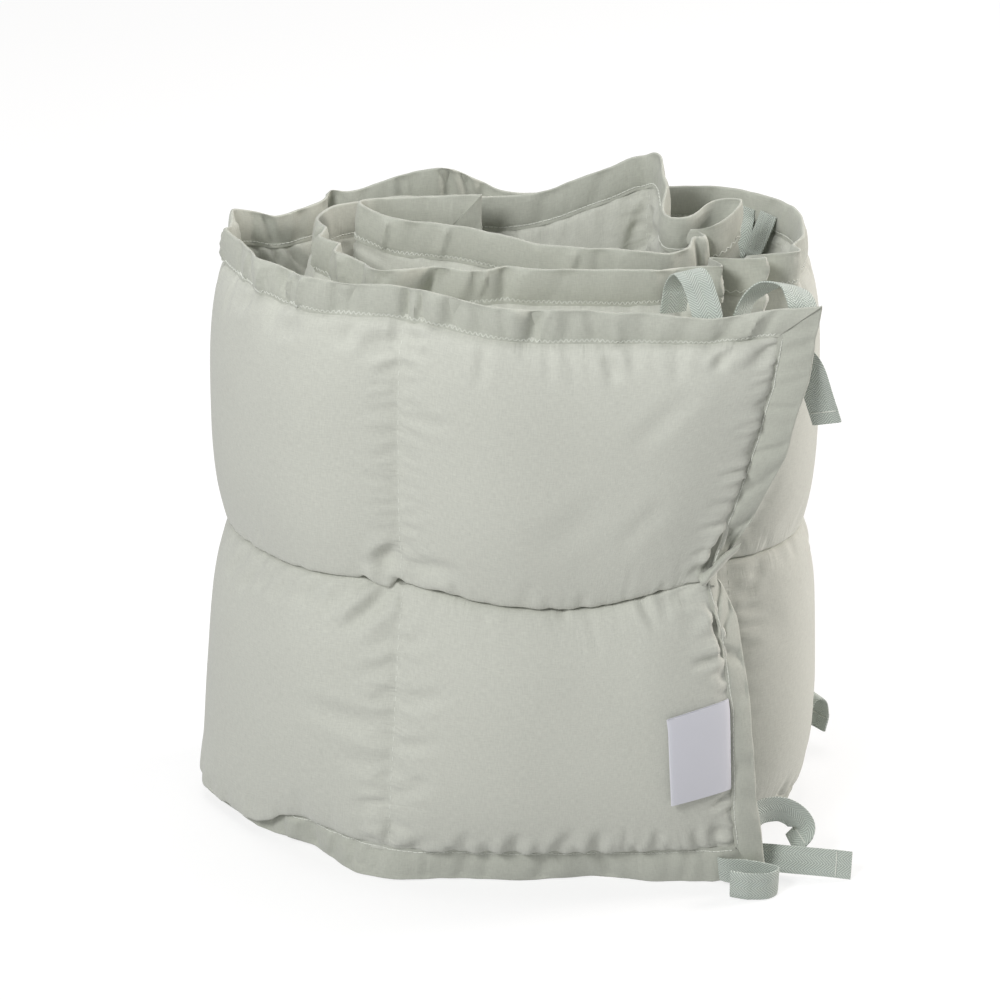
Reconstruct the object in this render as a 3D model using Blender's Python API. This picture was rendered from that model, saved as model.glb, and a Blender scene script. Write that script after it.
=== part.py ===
"""A quilted crib bumper, rolled up and standing on its long edge.

The bumper is a long padded strip of two rows of cells with a flat binding all round it.
Each piece starts as a flat blank, a closed slab in steps along, up and through the cloth.
Its points are then set on the roll: along the strip, up from the floor and out of the cloth.
"""

import math
from collections import namedtuple

import bmesh
import bpy
import numpy as np
from mathutils import Vector

MM = 0.001

# Driving sizes of the strip, in metres.
STRIP_HEIGHT = 290 * MM  # from the floor to the top edge, where nothing lifts or presses it
BINDING = 16 * MM  # width of the flat binding on every edge
BINDING_THICK = 2.0 * MM  # two layers of cloth and the seam allowance between them
SEAM_THICK = 3.0 * MM  # the quilt where a seam holds it shut
GAP = 0.3 * MM  # between pieces that touch
SEAM_GAP = 0.6 * MM  # between the quilt's rim and the binding sewn to it

# Quilting: two rows of cells, and how far a seam across the strip lets the filling rise.
ROWS = 2
CROSS_SEAM_RISE = 0.5  # share of the crown left on a seam between two cells of a row
END_ROUND = 45 * MM  # length over which a cell fills up from the binding at an end
FOOT_SPLAY = 4.0  # above 1, the strip stands upright and splays mostly near the floor

# Steps of the blanks.
COLUMN_STEP = 18 * MM  # most length to a column where the strip runs straight
COLUMN_TURN = math.radians(20)  # most turn to a column where it bends
ROW_STEPS = 6  # steps up each row of cells
PLAN_STEPS = 12  # points read between two stations of the plan

# The roll seen from above, from the outer end at the front right, round to the inner end.
# x, y: the seam line, at the top edge. top: height of that edge. foot_x, foot_y: how far the
# lower edge stands from the place under the top edge. out, inn: crown of the filling on the
# side that faces out of the roll and on the side that faces into it. seam: 1 on a cross seam.
# lift: how far the seam between the two rows is raised.
Station = namedtuple("Station", "place x y top foot_x foot_y out inn seam lift", defaults=[0])
PLAN = [
    Station("outer end", 138, 17, 288, -8, 26, 15, 8, 0, 20),
    Station("front right", 88, 25, 282, 0, 16, 17, 9, 0, 15),
    Station("front middle", 40, 28, 282, 2, 15, 18, 10, 0, 3),
    Station("front left", 0, 29, 283, -4, 14, 18, 10, 0, 3),
    Station("front corner", -41, 40, 288, -11, 3, 16, 9, 1, 7),
    Station("left front", -80, 53, 287, -9, 22, 13, 9, 0, 6),
    Station("left side", -106, 86, 287, -17, 26, 12, 9, 0, 3),
    Station("left bulge", -121, 120, 288, -18, 24, 11, 9, 0, 2),
    Station("left fold", -117, 154, 286, -16, 18, 11, 8, 1),
    Station("back left", -95, 172, 282, -8, 16, 11, 7, 0),
    Station("back bend", -72, 199, 282, -2, 14, 12, 8, 0),
    Station("back peak", -28, 212, 290, 0, 8, 14, 9, 0),
    Station("back middle", 4, 213, 278, 0, 8, 15, 9, 1),
    Station("back right", 60, 213, 280, 0, 6, 16, 9, 0),
    Station("back turn", 106, 208, 282, 2, 2, 13, 9, 0),
    Station("right back", 134, 172, 284, 5, -4, 10, 9, 1),
    Station("right side", 138, 136, 283, 6, -4, 9, 9, 0),
    Station("right front", 128, 106, 284, 2, 0, 9, 8, 0),
    Station("right turn", 102, 82, 286, -2, 4, 10, 8, 1),
    Station("second front", 66, 68, 287, 0, 8, 12, 9, 0),
    Station("second middle", 12, 69, 287, 0, 10, 12, 9, 0),
    Station("second corner", -42, 68, 287, -4, 10, 11, 9, 1),
    Station("second left", -64, 80, 287, -6, 12, 11, 8, 0),
    Station("second side", -77, 107, 287, -8, 12, 10, 8, 0),
    Station("second bulge", -84, 136, 287, -8, 12, 9, 7, 0),
    Station("second fold", -80, 157, 287, -6, 12, 8, 6, 1),
    Station("second turn", -66, 175, 285, -2, 10, 8, 6, 0),
    Station("inner back", -42, 184, 285, 0, 7, 9, 7, 0),
    Station("inner back middle", 10, 185, 285, 0, 7, 10, 8, 0),
    Station("inner back rise", 44, 184, 296, 0, 7, 10, 8, 0),
    Station("tall corner", 70, 181, 307, 0, 6, 7, 5, 1),
    Station("pleat side", 78, 163, 303, 0, 4, 5, 5, 0),
    Station("pleat foot", 85, 149, 295, 0, 2, 5, 5, 0),
    Station("inner right", 99, 145, 290, 0, 2, 6, 4, 0),
    Station("inner right turn", 104, 126, 286, 0, 4, 8, 7, 0),
    Station("third start", 84, 107, 283, 0, 6, 9, 7, 0),
    Station("third front", 50, 103, 284, 0, 8, 9, 8, 1),
    Station("third middle", 12, 111, 285, 0, 8, 9, 8, 0),
    Station("third left", -20, 125, 288, 0, 8, 9, 7, 0),
    Station("third corner", -48, 134, 289, 0, 8, 8, 6, 0),
    Station("third turn", -65, 143, 293, 0, 8, 5, 5, 1),
    Station("third fold", -61, 156, 292, 0, 8, 5, 5, 0),
    Station("third back", -40, 160, 292, 0, 8, 7, 6, 0),
    Station("inner end", -8, 160, 293, 0, 8, 6, 6, 0),
]

# The outer end's edge, from the top corner down: the middle seam draws it in.
# up: share of the height. edge, seam: how far along the strip the binding's edge and its seam
# are drawn. back: how far into the roll the very edge goes.
EdgePoint = namedtuple("EdgePoint", "up edge seam back")
OUTER_EDGE = [
    EdgePoint(0.00, 9, 9, 0),
    EdgePoint(0.12, 19, 15, 2),
    EdgePoint(0.28, 26, 18, 5),
    EdgePoint(0.42, 34, 25, 9),
    EdgePoint(0.50, 42, 31, 9),
    EdgePoint(0.58, 29, 24, 5),
    EdgePoint(0.70, 14, 14, 2),
    EdgePoint(0.84, 5, 5, 0),
    EdgePoint(1.00, 0, 0, -2),
]
EDGE_REACH = 120 * MM  # how far along the strip from the binding that drawing-in is felt

# Twill tape ties. Each starts at its root, sewn flat to a face of the strip: along and up the
# strip, side 1 on the face out of the roll, -1 on the face into it. heading: the way it leaves
# along that face, in degrees, 0 on along the strip and 90 up. Then the bends that it goes through.
TAPE_WIDTH = 13 * MM
TAPE_THICK = 1.2 * MM
ROOT_GAP = 2.0 * MM  # between a root and the face it is sewn to, whose steps are coarse
TAPE_LEAD = 4 * MM  # how far a tape goes straight on from its root
TAPE_STEPS = 5  # steps between two bends
TAPE_PEEL = 0.4  # rise off the wall for each step along it, at the root
TAPE_PULL = 8.0  # how soon a tape turns flat to a sharp bend: it doesn't bend across its width
Root = namedtuple("Root", "along up side heading")
Bend = namedtuple("Bend", "x y z")
TIES = {
    "tie_top_corner_inner": [
        Root(8, 0.93, -1, 90),
        Bend(130, 23, 284),
        Bend(126, 32, 290),
        Bend(117, 40, 289),
        Bend(108, 43, 281),
        Bend(103, 44, 268),
    ],
    "tie_top_corner_outer": [
        Root(8, 0.86, -1, 230),
        Bend(134, 25, 246),
        Bend(139, 30, 237),
        Bend(143, 34, 227),
    ],
    "tie_second_turn": [
        Root(48, 0.972, -1, 75),
        Bend(87, 31.5, 287),
        Bend(84.5, 36, 292.5),
        Bend(81, 43, 294),
        Bend(77.5, 49, 287),
        Bend(75.5, 50.5, 273),
    ],
    "tie_back_right_long": [
        Root(598, 0.975, -1, 270),
        Bend(112.5, 190.5, 265),
        Bend(110, 188, 257),
        Bend(109.5, 187, 247),
    ],
    "tie_back_right_short": [
        Root(616, 0.975, -1, 270),
        Bend(121, 179, 265),
        Bend(118.5, 177.5, 258),
        Bend(119.5, 176, 250),
    ],
    "tie_foot_corner_arch": [
        Root(12, 0.09, -1, 180),
        Bend(122, 47, 33),
        Bend(131, 53, 30),
        Bend(138, 57, 23),
        Bend(140, 59, 16),
        Bend(135, 60, 9),
    ],
    "tie_foot_corner_long": [
        Root(28, 0.026, -1, 180),
        Bend(111, 47, 9),
        Bend(122, 49, 8),
        Bend(135, 48, 7.2),
        Bend(150, 45, 7.2),
        Bend(161.5, 42, 7.2),
    ],
    "tie_foot_front_loop": [
        Root(26, 0.026, 1, 180),
        Bend(112, 34, 8.5),
        Bend(121, 32, 7.6),
        Bend(127, 28, 7.2),
        Bend(123, 22, 7.2),
        Bend(114, 21, 7.2),
        Bend(105, 24, 7.2),
    ],
    "tie_foot_back": [
        Root(625, 0.03, 1, 90),
        Bend(143, 178, 17),
        Bend(147, 180, 25),
        Bend(151.5, 182.5, 30),
        Bend(156.5, 185.5, 28),
        Bend(158, 186.5, 20),
        Bend(156, 185, 11),
    ],
}

# The woven label, held in the lower part of the outer end's seam.
LABEL_WIDTH = 31 * MM
LABEL_TOP, LABEL_FOOT = 87 * MM, 45 * MM
LABEL_THICK = 1.0 * MM
LABEL_LIFT = 1.5 * MM  # clear of the crown under it

# Colours (linear) and roughness.
Finish = namedtuple("Finish", "colour roughness")
CLOTH = Finish((0.52, 0.53, 0.47), 0.9)
BINDING_CLOTH = Finish((0.50, 0.51, 0.45), 0.9)
TWILL = Finish((0.36, 0.40, 0.35), 0.85)
LABEL_CLOTH = Finish((0.80, 0.80, 0.84), 0.8)


def through_stations(values):
    """A smooth line through the stations' values, PLAN_STEPS points to a span."""
    ends = [2 * values[0] - values[1], *values, 2 * values[-1] - values[-2]]
    line = []
    for before, start, end, after in zip(ends, ends[1:], ends[2:], ends[3:]):
        for step in range(PLAN_STEPS):
            t = step / PLAN_STEPS
            bend = 2 * before - 5 * start + 4 * end - after
            twist = 3 * (start - end) + after - before
            line.append(start + 0.5 * t * (end - before + t * (bend + t * twist)))
    return np.array([*line, values[-1]])


def outer_edge(name, up):
    """A column of OUTER_EDGE, in metres, read at a share of the height."""
    values = [getattr(row, name) * MM for row in OUTER_EDGE]
    return float(np.interp(up, [row.up for row in OUTER_EDGE], values))


class Roll:
    """The strip's middle surface: where a point along it and up it lies in the roll."""

    def __init__(self):
        self.columns = {
            name: through_stations([getattr(row, name) * MM for row in PLAN])
            for name in ("x", "y", "top", "foot_x", "foot_y", "out", "inn", "lift")
        }
        x, y = self.columns["x"], self.columns["y"]
        self.along = np.concatenate([[0], np.cumsum(np.hypot(np.diff(x), np.diff(y)))])
        self.length = self.along[-1]
        turns = np.abs(np.diff(np.unwrap(np.arctan2(np.diff(y), np.diff(x)))))
        work = np.diff(self.along) / COLUMN_STEP + np.append(turns, 0) / COLUMN_TURN
        self.work = np.concatenate([[0], np.cumsum(work)])
        marks = [i * PLAN_STEPS for i, row in enumerate(PLAN) if row.seam]
        self.seams = [BINDING, *self.along[marks], self.length - BINDING]

    def read(self, name, along):
        return float(np.interp(along, self.along, self.columns[name]))

    def point(self, along, up, out=0.0):
        """along: metres from the outer end. up: 0 at the lower edge, 1 at the upper one."""
        at_edge = max(0.0, 1 - along / BINDING)
        beyond = min(max((along - BINDING) / EDGE_REACH, 0.0), 1.0)
        pull = (1 + math.cos(math.pi * beyond)) / 2
        edge, seam, back = (outer_edge(name, up) for name in ("edge", "seam", "back"))
        along += pull * (at_edge * edge + (1 - at_edge) * seam)
        here, ahead = max(along - MM, 0), min(along + MM, self.length)
        run = Vector([self.read(axis, ahead) - self.read(axis, here) for axis in "xy"]).normalized()
        top = self.read("top", along)
        foot = max(0.0, top - STRIP_HEIGHT)
        place = Vector((self.read("x", along), self.read("y", along), foot + up * (top - foot)))
        splay = (1 - up) ** FOOT_SPLAY
        place.x += splay * self.read("foot_x", along)
        place.y += splay * self.read("foot_y", along)
        place.z += 4 * up * (1 - up) * self.read("lift", along)
        out -= at_edge * back
        return place + Vector((-run.y, run.x, 0)) * out

    def crown(self, along, up, side):
        """Half the quilt's thickness on one side: 1 faces out of the roll, -1 into it."""
        low, high = binding_shares()
        across = (up - low) / (high - low) * ROWS
        row = min(int(across), ROWS - 1)
        share = min(max(across - row, 0.0), 1.0)
        dome = (1 - abs(2 * share - 1) ** 2.4) ** 0.6
        cell = max(i for i, seam in enumerate(self.seams[:-1]) if along >= seam - MM)
        start, end = self.seams[cell], self.seams[cell + 1]
        place = min(max((along - start) / (end - start), 0.0), 1.0)
        rise = CROSS_SEAM_RISE + (1 - CROSS_SEAM_RISE) * (1 - abs(2 * place - 1) ** 4) ** 0.7
        to_end = min(along - self.seams[0], self.seams[-1] - along)
        closing = math.sin(math.pi / 2 * min(max(to_end / END_ROUND, 0.0), 1.0)) ** 0.7
        full = self.read("out" if side > 0 else "inn", along)
        return SEAM_THICK / 2 + full * dome * rise * closing


def binding_shares():
    """The shares of the height at which the lower binding ends and the upper one starts."""
    share = BINDING / STRIP_HEIGHT
    return share, 1 - share


def blank(columns, rows):
    """A closed slab, one unit to each column and row, whose two sides are at z 0 and z 1."""
    mesh = bmesh.new()
    bmesh.ops.create_grid(mesh, x_segments=columns, y_segments=rows, size=0.5)
    bmesh.ops.translate(mesh, verts=mesh.verts, vec=(0.5, 0.5, 0))
    bmesh.ops.scale(mesh, verts=mesh.verts, vec=(columns, rows, 1))
    raised = bmesh.ops.extrude_face_region(mesh, geom=mesh.faces[:])
    lifted = [item for item in raised["geom"] if isinstance(item, bmesh.types.BMVert)]
    bmesh.ops.translate(mesh, verts=lifted, vec=(0, 0, 1))
    bmesh.ops.recalc_face_normals(mesh, faces=mesh.faces)
    return mesh


def shaped(name, columns, rows, place, finish):
    """Makes a piece from a blank: place(column, row, side) says where each point goes."""
    mesh = blank(columns, rows)
    for vert in mesh.verts:
        column, row, raised = (round(value) for value in vert.co)
        vert.co = place(column, row, 1 if raised else -1)
    bmesh.ops.recalc_face_normals(mesh, faces=mesh.faces)
    if mesh.calc_volume(signed=True) < 0:
        bmesh.ops.reverse_faces(mesh, faces=mesh.faces)
    data = bpy.data.meshes.new(name)
    mesh.to_mesh(data)
    mesh.free()
    data.shade_smooth()
    data.set_sharp_from_angle(angle=math.radians(50))
    data.materials.append(material(name, finish))
    piece = bpy.data.objects.new(name, data)
    bpy.context.scene.collection.objects.link(piece)
    return piece


def material(name, finish):
    made = bpy.data.materials.new(name)
    made.use_nodes = True
    shader = made.node_tree.nodes["Principled BSDF"]
    shader.inputs["Base Color"].default_value = (*finish.colour, 1)
    shader.inputs["Roughness"].default_value = finish.roughness
    shader.inputs["Metallic"].default_value = 0
    return made


def rows_between(low, high):
    """Heights of the quilt's rows of points, closer together beside a seam, where the crown is steep."""
    within = [(1 - math.cos(math.pi * i / ROW_STEPS)) / 2 for i in range(ROW_STEPS)]
    shares = [(row + share) / ROWS for row in range(ROWS) for share in within] + [1.0]
    edge = SEAM_GAP / STRIP_HEIGHT
    return [low + edge + share * (high - low - 2 * edge) for share in shares]


def strip_columns(roll):
    """Places along the strip, from end seam to end seam, closer together where it bends."""
    places = [roll.seams[0]]
    for start, end in zip(roll.seams, roll.seams[1:]):
        first, last = np.interp([start, end], roll.along, roll.work)
        works = np.linspace(first, last, math.ceil(last - first) + 1)[1:]
        places += list(np.interp(works, roll.work, roll.along))
    return places


def make_quilt(roll):
    """The filled strip inside the bindings, crowned in every cell and drawn in at the seams."""
    places = strip_columns(roll)
    places[0] += SEAM_GAP
    places[-1] -= SEAM_GAP
    ups = rows_between(*binding_shares())

    def place(column, row, side):
        along, up = places[column], ups[row]
        return roll.point(along, up, side * roll.crown(along, up, side))

    return shaped("quilted_strip", len(places) - 1, len(ups) - 1, place, CLOTH)


def make_long_binding(roll, name, seam_up, edge_up):
    """The binding on one long edge, mitred where it meets the bindings of the ends."""
    places = [0.0, *strip_columns(roll), roll.length]
    last = len(places) - 1

    def place(column, row, side):
        up = edge_up if row else seam_up
        mitre = GAP if row else BINDING + GAP
        # The first and last columns are the mitres, and no other column crosses them.
        start = mitre + column * GAP
        end = roll.length - mitre - (last - column) * GAP
        along = {0: start, last: end}.get(column, min(max(places[column], start), end))
        return roll.point(along, up, side * BINDING_THICK / 2)

    return shaped(name, last, 1, place, BINDING_CLOTH)


def make_end_binding(roll, name, seam_along, edge_along):
    """The binding on one end, mitred at the top and at the floor."""
    columns = 3
    mitre = BINDING / STRIP_HEIGHT

    def place(column, row, side):
        share = column / columns
        along = seam_along + share * (edge_along - seam_along)
        ups = rows_between((1 - share) * mitre, 1 - (1 - share) * mitre)
        return roll.point(along, ups[row], side * BINDING_THICK / 2)

    return shaped(name, columns, ROWS * ROW_STEPS, place, BINDING_CLOTH)


def make_label(roll):
    """A flat woven label, whose edge is held in the outer end's seam."""
    columns, rows = 4, 5

    def place(column, row, side):
        along = BINDING + 2 * GAP + column / columns * LABEL_WIDTH
        up = (LABEL_FOOT + row / rows * (LABEL_TOP - LABEL_FOOT)) / STRIP_HEIGHT
        out = roll.crown(along, up, 1) + LABEL_LIFT + side * LABEL_THICK / 2
        return roll.point(along, up, out)

    return shaped("label", columns, rows, place, LABEL_CLOTH)


def tape_line(points):
    """A smooth line through the points, TAPE_STEPS to a span, which never loops between two."""
    ends = [2 * points[0] - points[1], *points, 2 * points[-1] - points[-2]]
    line = []
    for before, start, end, after in zip(ends, ends[1:], ends[2:], ends[3:]):
        a, b, c = ((q - p).length ** 0.5 for p, q in ((before, start), (start, end), (end, after)))
        leave = (start - before) / a - (end - before) / (a + b) + (end - start) / b
        arrive = (end - start) / b - (after - start) / (b + c) + (after - end) / c
        for step in range(TAPE_STEPS):
            t = step / TAPE_STEPS
            done = t * t * (3 - 2 * t)
            bulge = leave * (t * (1 - t) ** 2) - arrive * (t * t * (1 - t))
            line.append(start.lerp(end, done) + b * bulge)
    return [*line, points[-1]]


def wall_frame(roll, along, up, side):
    """A place on the strip's middle, and the directions along it, up it and out of one side."""
    step = TAPE_WIDTH / 2 / STRIP_HEIGHT
    low, middle, high = (roll.point(along, up + rise) for rise in (-step, 0, step))
    upwards = (high - low).normalized()
    outwards = roll.point(along, up, side * MM) - middle
    outwards = (outwards - upwards * outwards.dot(upwards)).normalized()
    return middle, outwards.cross(upwards) * side, upwards, outwards


def tape_widths(line, across):
    """The direction across the tape at each of its points: it turns flat to every bend."""
    widths = []
    for before, here, after in zip([line[0], *line], line, [*line[1:], line[-1]]):
        leaving = (after - here).normalized()
        bend = (here - before).normalized().cross(leaving)
        pull = math.copysign(TAPE_PULL * bend.length, bend.dot(across))
        across = across + pull * bend
        across = (across - leaving * across.dot(leaving)).normalized()
        widths.append(across)
    return widths


def make_tie(roll, name, root, bends):
    """A length of tape from the strip through its bends, free where the last bend is."""
    middle, forwards, upwards, outwards = wall_frame(roll, root.along * MM, root.up, root.side)
    heading = math.radians(root.heading)
    along = forwards * math.cos(heading) + upwards * math.sin(heading)
    leaving = (along + TAPE_PEEL * outwards).normalized()
    start = middle + outwards * (BINDING_THICK / 2 + ROOT_GAP)
    line = tape_line([start, start + leaving * TAPE_LEAD, *(Vector(bend) * MM for bend in bends)])
    widths = tape_widths(line, upwards * math.cos(heading) - forwards * math.sin(heading))

    def place(column, row, side):
        run = line[min(column + 1, len(line) - 1)] - line[max(column - 1, 0)]
        face = widths[column].cross(run).normalized()
        across = run.cross(face).normalized()
        return line[column] + across * (row - 0.5) * TAPE_WIDTH + face * side * TAPE_THICK / 2

    return shaped(name, len(line) - 1, 1, place, TWILL)


def stand_on_origin(pieces):
    """Sets the whole roll down with the middle of its footprint at the origin."""
    points = np.array([vertex.co for piece in pieces for vertex in piece.data.vertices])
    low, high = points.min(axis=0), points.max(axis=0)
    shift = Vector((-(low[0] + high[0]) / 2, -(low[1] + high[1]) / 2, -low[2]))
    for piece in pieces:
        for vertex in piece.data.vertices:
            vertex.co += shift


def clear_scene():
    for old in list(bpy.data.objects):
        bpy.data.objects.remove(old)


def main():
    clear_scene()
    roll = Roll()
    low, high = binding_shares()
    pieces = [
        make_quilt(roll),
        make_long_binding(roll, "binding_top", high, 1.0),
        make_long_binding(roll, "binding_foot", low, 0.0),
        make_end_binding(roll, "binding_outer_end", BINDING, 0.0),
        make_end_binding(roll, "binding_inner_end", roll.length - BINDING, roll.length),
        make_label(roll),
    ]
    pieces += [make_tie(roll, name, root, bends) for name, (root, *bends) in TIES.items()]
    stand_on_origin(pieces)


main()
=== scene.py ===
"""The rolled crib bumper as it is photographed: cloth, bindings, tapes, label, floor and light."""

import math
import random
from collections import namedtuple

import bmesh
import bpy
import numpy as np
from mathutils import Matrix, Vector
from mathutils.bvhtree import BVHTree


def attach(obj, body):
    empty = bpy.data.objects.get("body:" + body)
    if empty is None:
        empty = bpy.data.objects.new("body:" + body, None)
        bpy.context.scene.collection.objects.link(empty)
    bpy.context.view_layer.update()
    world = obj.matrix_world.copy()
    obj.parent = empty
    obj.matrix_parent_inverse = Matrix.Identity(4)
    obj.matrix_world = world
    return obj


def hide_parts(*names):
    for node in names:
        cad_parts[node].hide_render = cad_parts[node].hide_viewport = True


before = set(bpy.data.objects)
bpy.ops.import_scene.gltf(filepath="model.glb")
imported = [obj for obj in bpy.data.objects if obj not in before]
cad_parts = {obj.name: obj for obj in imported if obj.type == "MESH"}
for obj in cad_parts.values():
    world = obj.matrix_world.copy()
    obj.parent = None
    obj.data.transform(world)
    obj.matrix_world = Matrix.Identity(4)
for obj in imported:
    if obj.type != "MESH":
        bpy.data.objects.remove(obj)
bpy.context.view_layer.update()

MM = 0.001

# ==== The roll, on the same sizes and plan as the solids.

SHIFT = np.array([-10.67, -120.30, 0.0]) * MM  # from the plan to the middle of the footprint
STRIP_HEIGHT = 290 * MM
BINDING = 16 * MM
HEM_THICK = 1.6 * MM  # the quilt where a seam holds it shut
ROWS = 2
CELL_ROUND = (2.6, 0.55)  # powers that say how full a cell is, from its lower seam to its upper one
CELL_ENDS = (7, 0.7)  # the same towards the seams across the strip
CROSS_SEAM_RISE = 0.7  # of the crown, on a seam across the strip
END_ROUND, END_FULL = 45 * MM, 0.55  # how the crown closes towards the strip's ends
OVERHANG = 0.5  # how far from a seam a cell bulges over it, as a share of its crown
SEAM_OVERHANG = (0.55, 1.0, 0.3)  # how much of that the foot, middle and top seams show
FOOT_SPLAY = 4.0  # the power that the lower edge's offset fades with
EDGE_REACH = 120 * MM  # along the strip, where the drawn-in outer edge has no effect any more
PLAN_STEPS = 12

# x, y: the seam line at the top edge. top: height of that edge. foot_x, foot_y: how far the lower
# edge stands from it. out, inn: crown on the outer and inner side. seam: 1 on a cross seam.
# lift: rise of the middle seam.
Station = namedtuple("Station", "x y top foot_x foot_y out inn seam lift", defaults=[0])
PLAN = [Station(*row) for row in [
    # the outer end and the front
    (138, 17, 288, -8, 26, 15, 8, 0, 20), (88, 25, 282, 0, 16, 17, 9, 0, 15),
    (40, 28, 282, 2, 15, 18, 10, 0, 3), (0, 29, 283, -4, 14, 18, 10, 0, 3),
    (-41, 40, 288, -11, 3, 16, 9, 1, 7),
    # the left side
    (-80, 53, 287, -9, 22, 13, 9, 0, 6), (-106, 86, 287, -17, 26, 12, 9, 0, 3),
    (-121, 120, 288, -18, 24, 11, 9, 0, 2), (-117, 154, 286, -16, 18, 11, 8, 1),
    # the back
    (-95, 172, 282, -8, 16, 11, 7, 0), (-72, 199, 282, -2, 14, 12, 8, 0),
    (-28, 212, 290, 0, 8, 14, 9, 0), (4, 213, 278, 0, 8, 15, 9, 1),
    (60, 213, 280, 0, 6, 16, 9, 0), (106, 208, 282, 2, 2, 13, 9, 0),
    # the right side
    (134, 172, 284, 5, -4, 10, 9, 1), (138, 136, 283, 6, -4, 9, 9, 0),
    (128, 106, 284, 2, 0, 9, 8, 0), (102, 82, 286, -2, 4, 10, 8, 1),
    # the second turn
    (66, 68, 287, 0, 8, 12, 9, 0), (12, 69, 287, 0, 10, 12, 9, 0),
    (-42, 68, 287, -4, 10, 11, 9, 1), (-64, 80, 287, -6, 12, 11, 8, 0),
    (-77, 107, 287, -8, 12, 10, 8, 0), (-84, 136, 287, -8, 12, 9, 7, 0),
    (-80, 157, 287, -6, 12, 8, 6, 1), (-66, 175, 285, -2, 10, 8, 6, 0),
    # the second turn's back
    (-42, 184, 285, 0, 7, 9, 7, 0), (10, 185, 285, 0, 7, 10, 8, 0),
    (44, 184, 296, 0, 7, 10, 8, 0),
    # the tall corner and its pleat
    (70, 181, 307, 0, 6, 7, 5, 1), (78, 163, 303, 0, 4, 5, 5, 0), (85, 149, 295, 0, 2, 5, 5, 0),
    # the inner right turn
    (99, 145, 290, 0, 2, 6, 4, 0), (104, 126, 286, 0, 4, 8, 7, 0),
    # the third turn
    (84, 107, 283, 0, 6, 9, 7, 0), (50, 103, 284, 0, 8, 9, 8, 1), (12, 111, 285, 0, 8, 9, 8, 0),
    (-20, 125, 288, 0, 8, 9, 7, 0), (-48, 134, 289, 0, 8, 8, 6, 0),
    (-65, 143, 293, 0, 8, 5, 5, 1), (-61, 156, 292, 0, 8, 5, 5, 0),
    (-40, 160, 292, 0, 8, 7, 6, 0), (-8, 160, 293, 0, 8, 6, 6, 0),
]]

# The outer end's edge: up: share of the height. edge, seam: how far the binding's edge and its
# seam are drawn in along the strip. back: how far into the roll the very edge goes.
EdgePoint = namedtuple("EdgePoint", "up edge seam back")
OUTER_EDGE = [EdgePoint(*row) for row in [
    (0.00, 9, 9, 0), (0.12, 19, 15, 2), (0.28, 26, 18, 5), (0.42, 34, 25, 9), (0.50, 42, 31, 9),
    (0.58, 29, 24, 5), (0.70, 14, 14, 2), (0.84, 5, 5, 0), (1.00, 0, 0, -2),
]]

CRISP = 1.6  # how pointed a wave's crest is: 2 is round, 1 is a crease
# Where the strip's upper or lower edge waves: how far from the outer end, how far that reaches
# along the strip and down from the edge, and how far the edge leans out of the roll and rises.
Wave = namedtuple("Wave", "along reach fall lean rise")
WAVES = {
    "top": [
        (46, 24, 20, 4.0, -2.2), (110, 70, 20, 2.0, 0), (124, 5, 18, -2.6, -1.0),
        (140, 10, 20, 1.3, 0.5), (181, 5, 20, -2.9, -1.0), (226, 6, 22, 3.4, 1.3),
        (243, 5, 22, -4.4, -1.8), (262, 7, 22, 3.7, 1.0), (300, 6, 22, 3.4, 2.0),
        (330, 8, 22, 3.4, 2.6), (352, 10, 22, -3.7, -1.3), (395, 6, 25, 4.1, 2.0),
        (448, 8, 30, -4.1, 1.3), (468, 5, 25, 3.4, 0.0), (684, 6, 30, -3.0, -1.0),
        (697, 7, 34, 6.5, 0.5), (711, 4.4, 54, -13.0, -3.0), (721, 4.6, 50, 9.5, 2.5),
        (734, 4.6, 60, -15.0, -2.5), (744, 5.2, 60, 11.0, 2.0), (757, 6, 40, -6.0, -2.0),
        (815, 48, 22, 2.6, 0), (835, 6, 25, -4.1, 0.0), (868, 7, 34, -9.3, -1.3),
        (887, 8, 34, 8.5, 1.3), (905, 8, 26, -4.2, -2.0), (922, 4, 24, 2.5, 0.0),
        (932, 4, 24, -3.1, 0.0), (943, 5, 24, 3.4, 0.7), (958, 6, 24, -3.4, 0.0),
        (1146, 4, 40, 1.5, -1.5), (1170, 7, 70, -3.0, -1.0), (1185, 7, 70, -14.0, -6.0),
        (1201, 6.5, 55, 13.0, 4.0), (1220, 8, 60, -18.0, -1.0), (1237, 8, 50, -9.0, 1.0),
        (1330, 52, 26, -3.6, 0), (1282, 8, 25, -2.0, 0.0), (1380, 8, 25, 2.0, 0.5),
        (1400, 8, 25, -2.0, -0.5),
    ],
    "foot": [
        (300, 26, 20, 3.5, 0), (690, 50, 30, -7.0, 0), (250, 9, 14, 2.6, 0),
        (222, 9, 14, -2.2, 0.8), (196, 8, 12, 2.2, 0), (160, 10, 12, -1.8, 0.6),
        (128, 9, 12, 1.6, 0), (96, 9, 12, -1.8, 0.8), (64, 9, 12, 1.2, 0),
    ],
}

# Where the outer cells sag over the binding they stand on: how far from the outer end, half of how
# far along, and how far down.
Sag = namedtuple("Sag", "along half drop")
SAGS = [Sag(270, 34, 15), Sag(322, 20, 9), Sag(690, 50, 12)]
SAG_START, SAG_REACH = 4 * MM, 24 * MM  # fullest this far above the foot seam, then it fades

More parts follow.
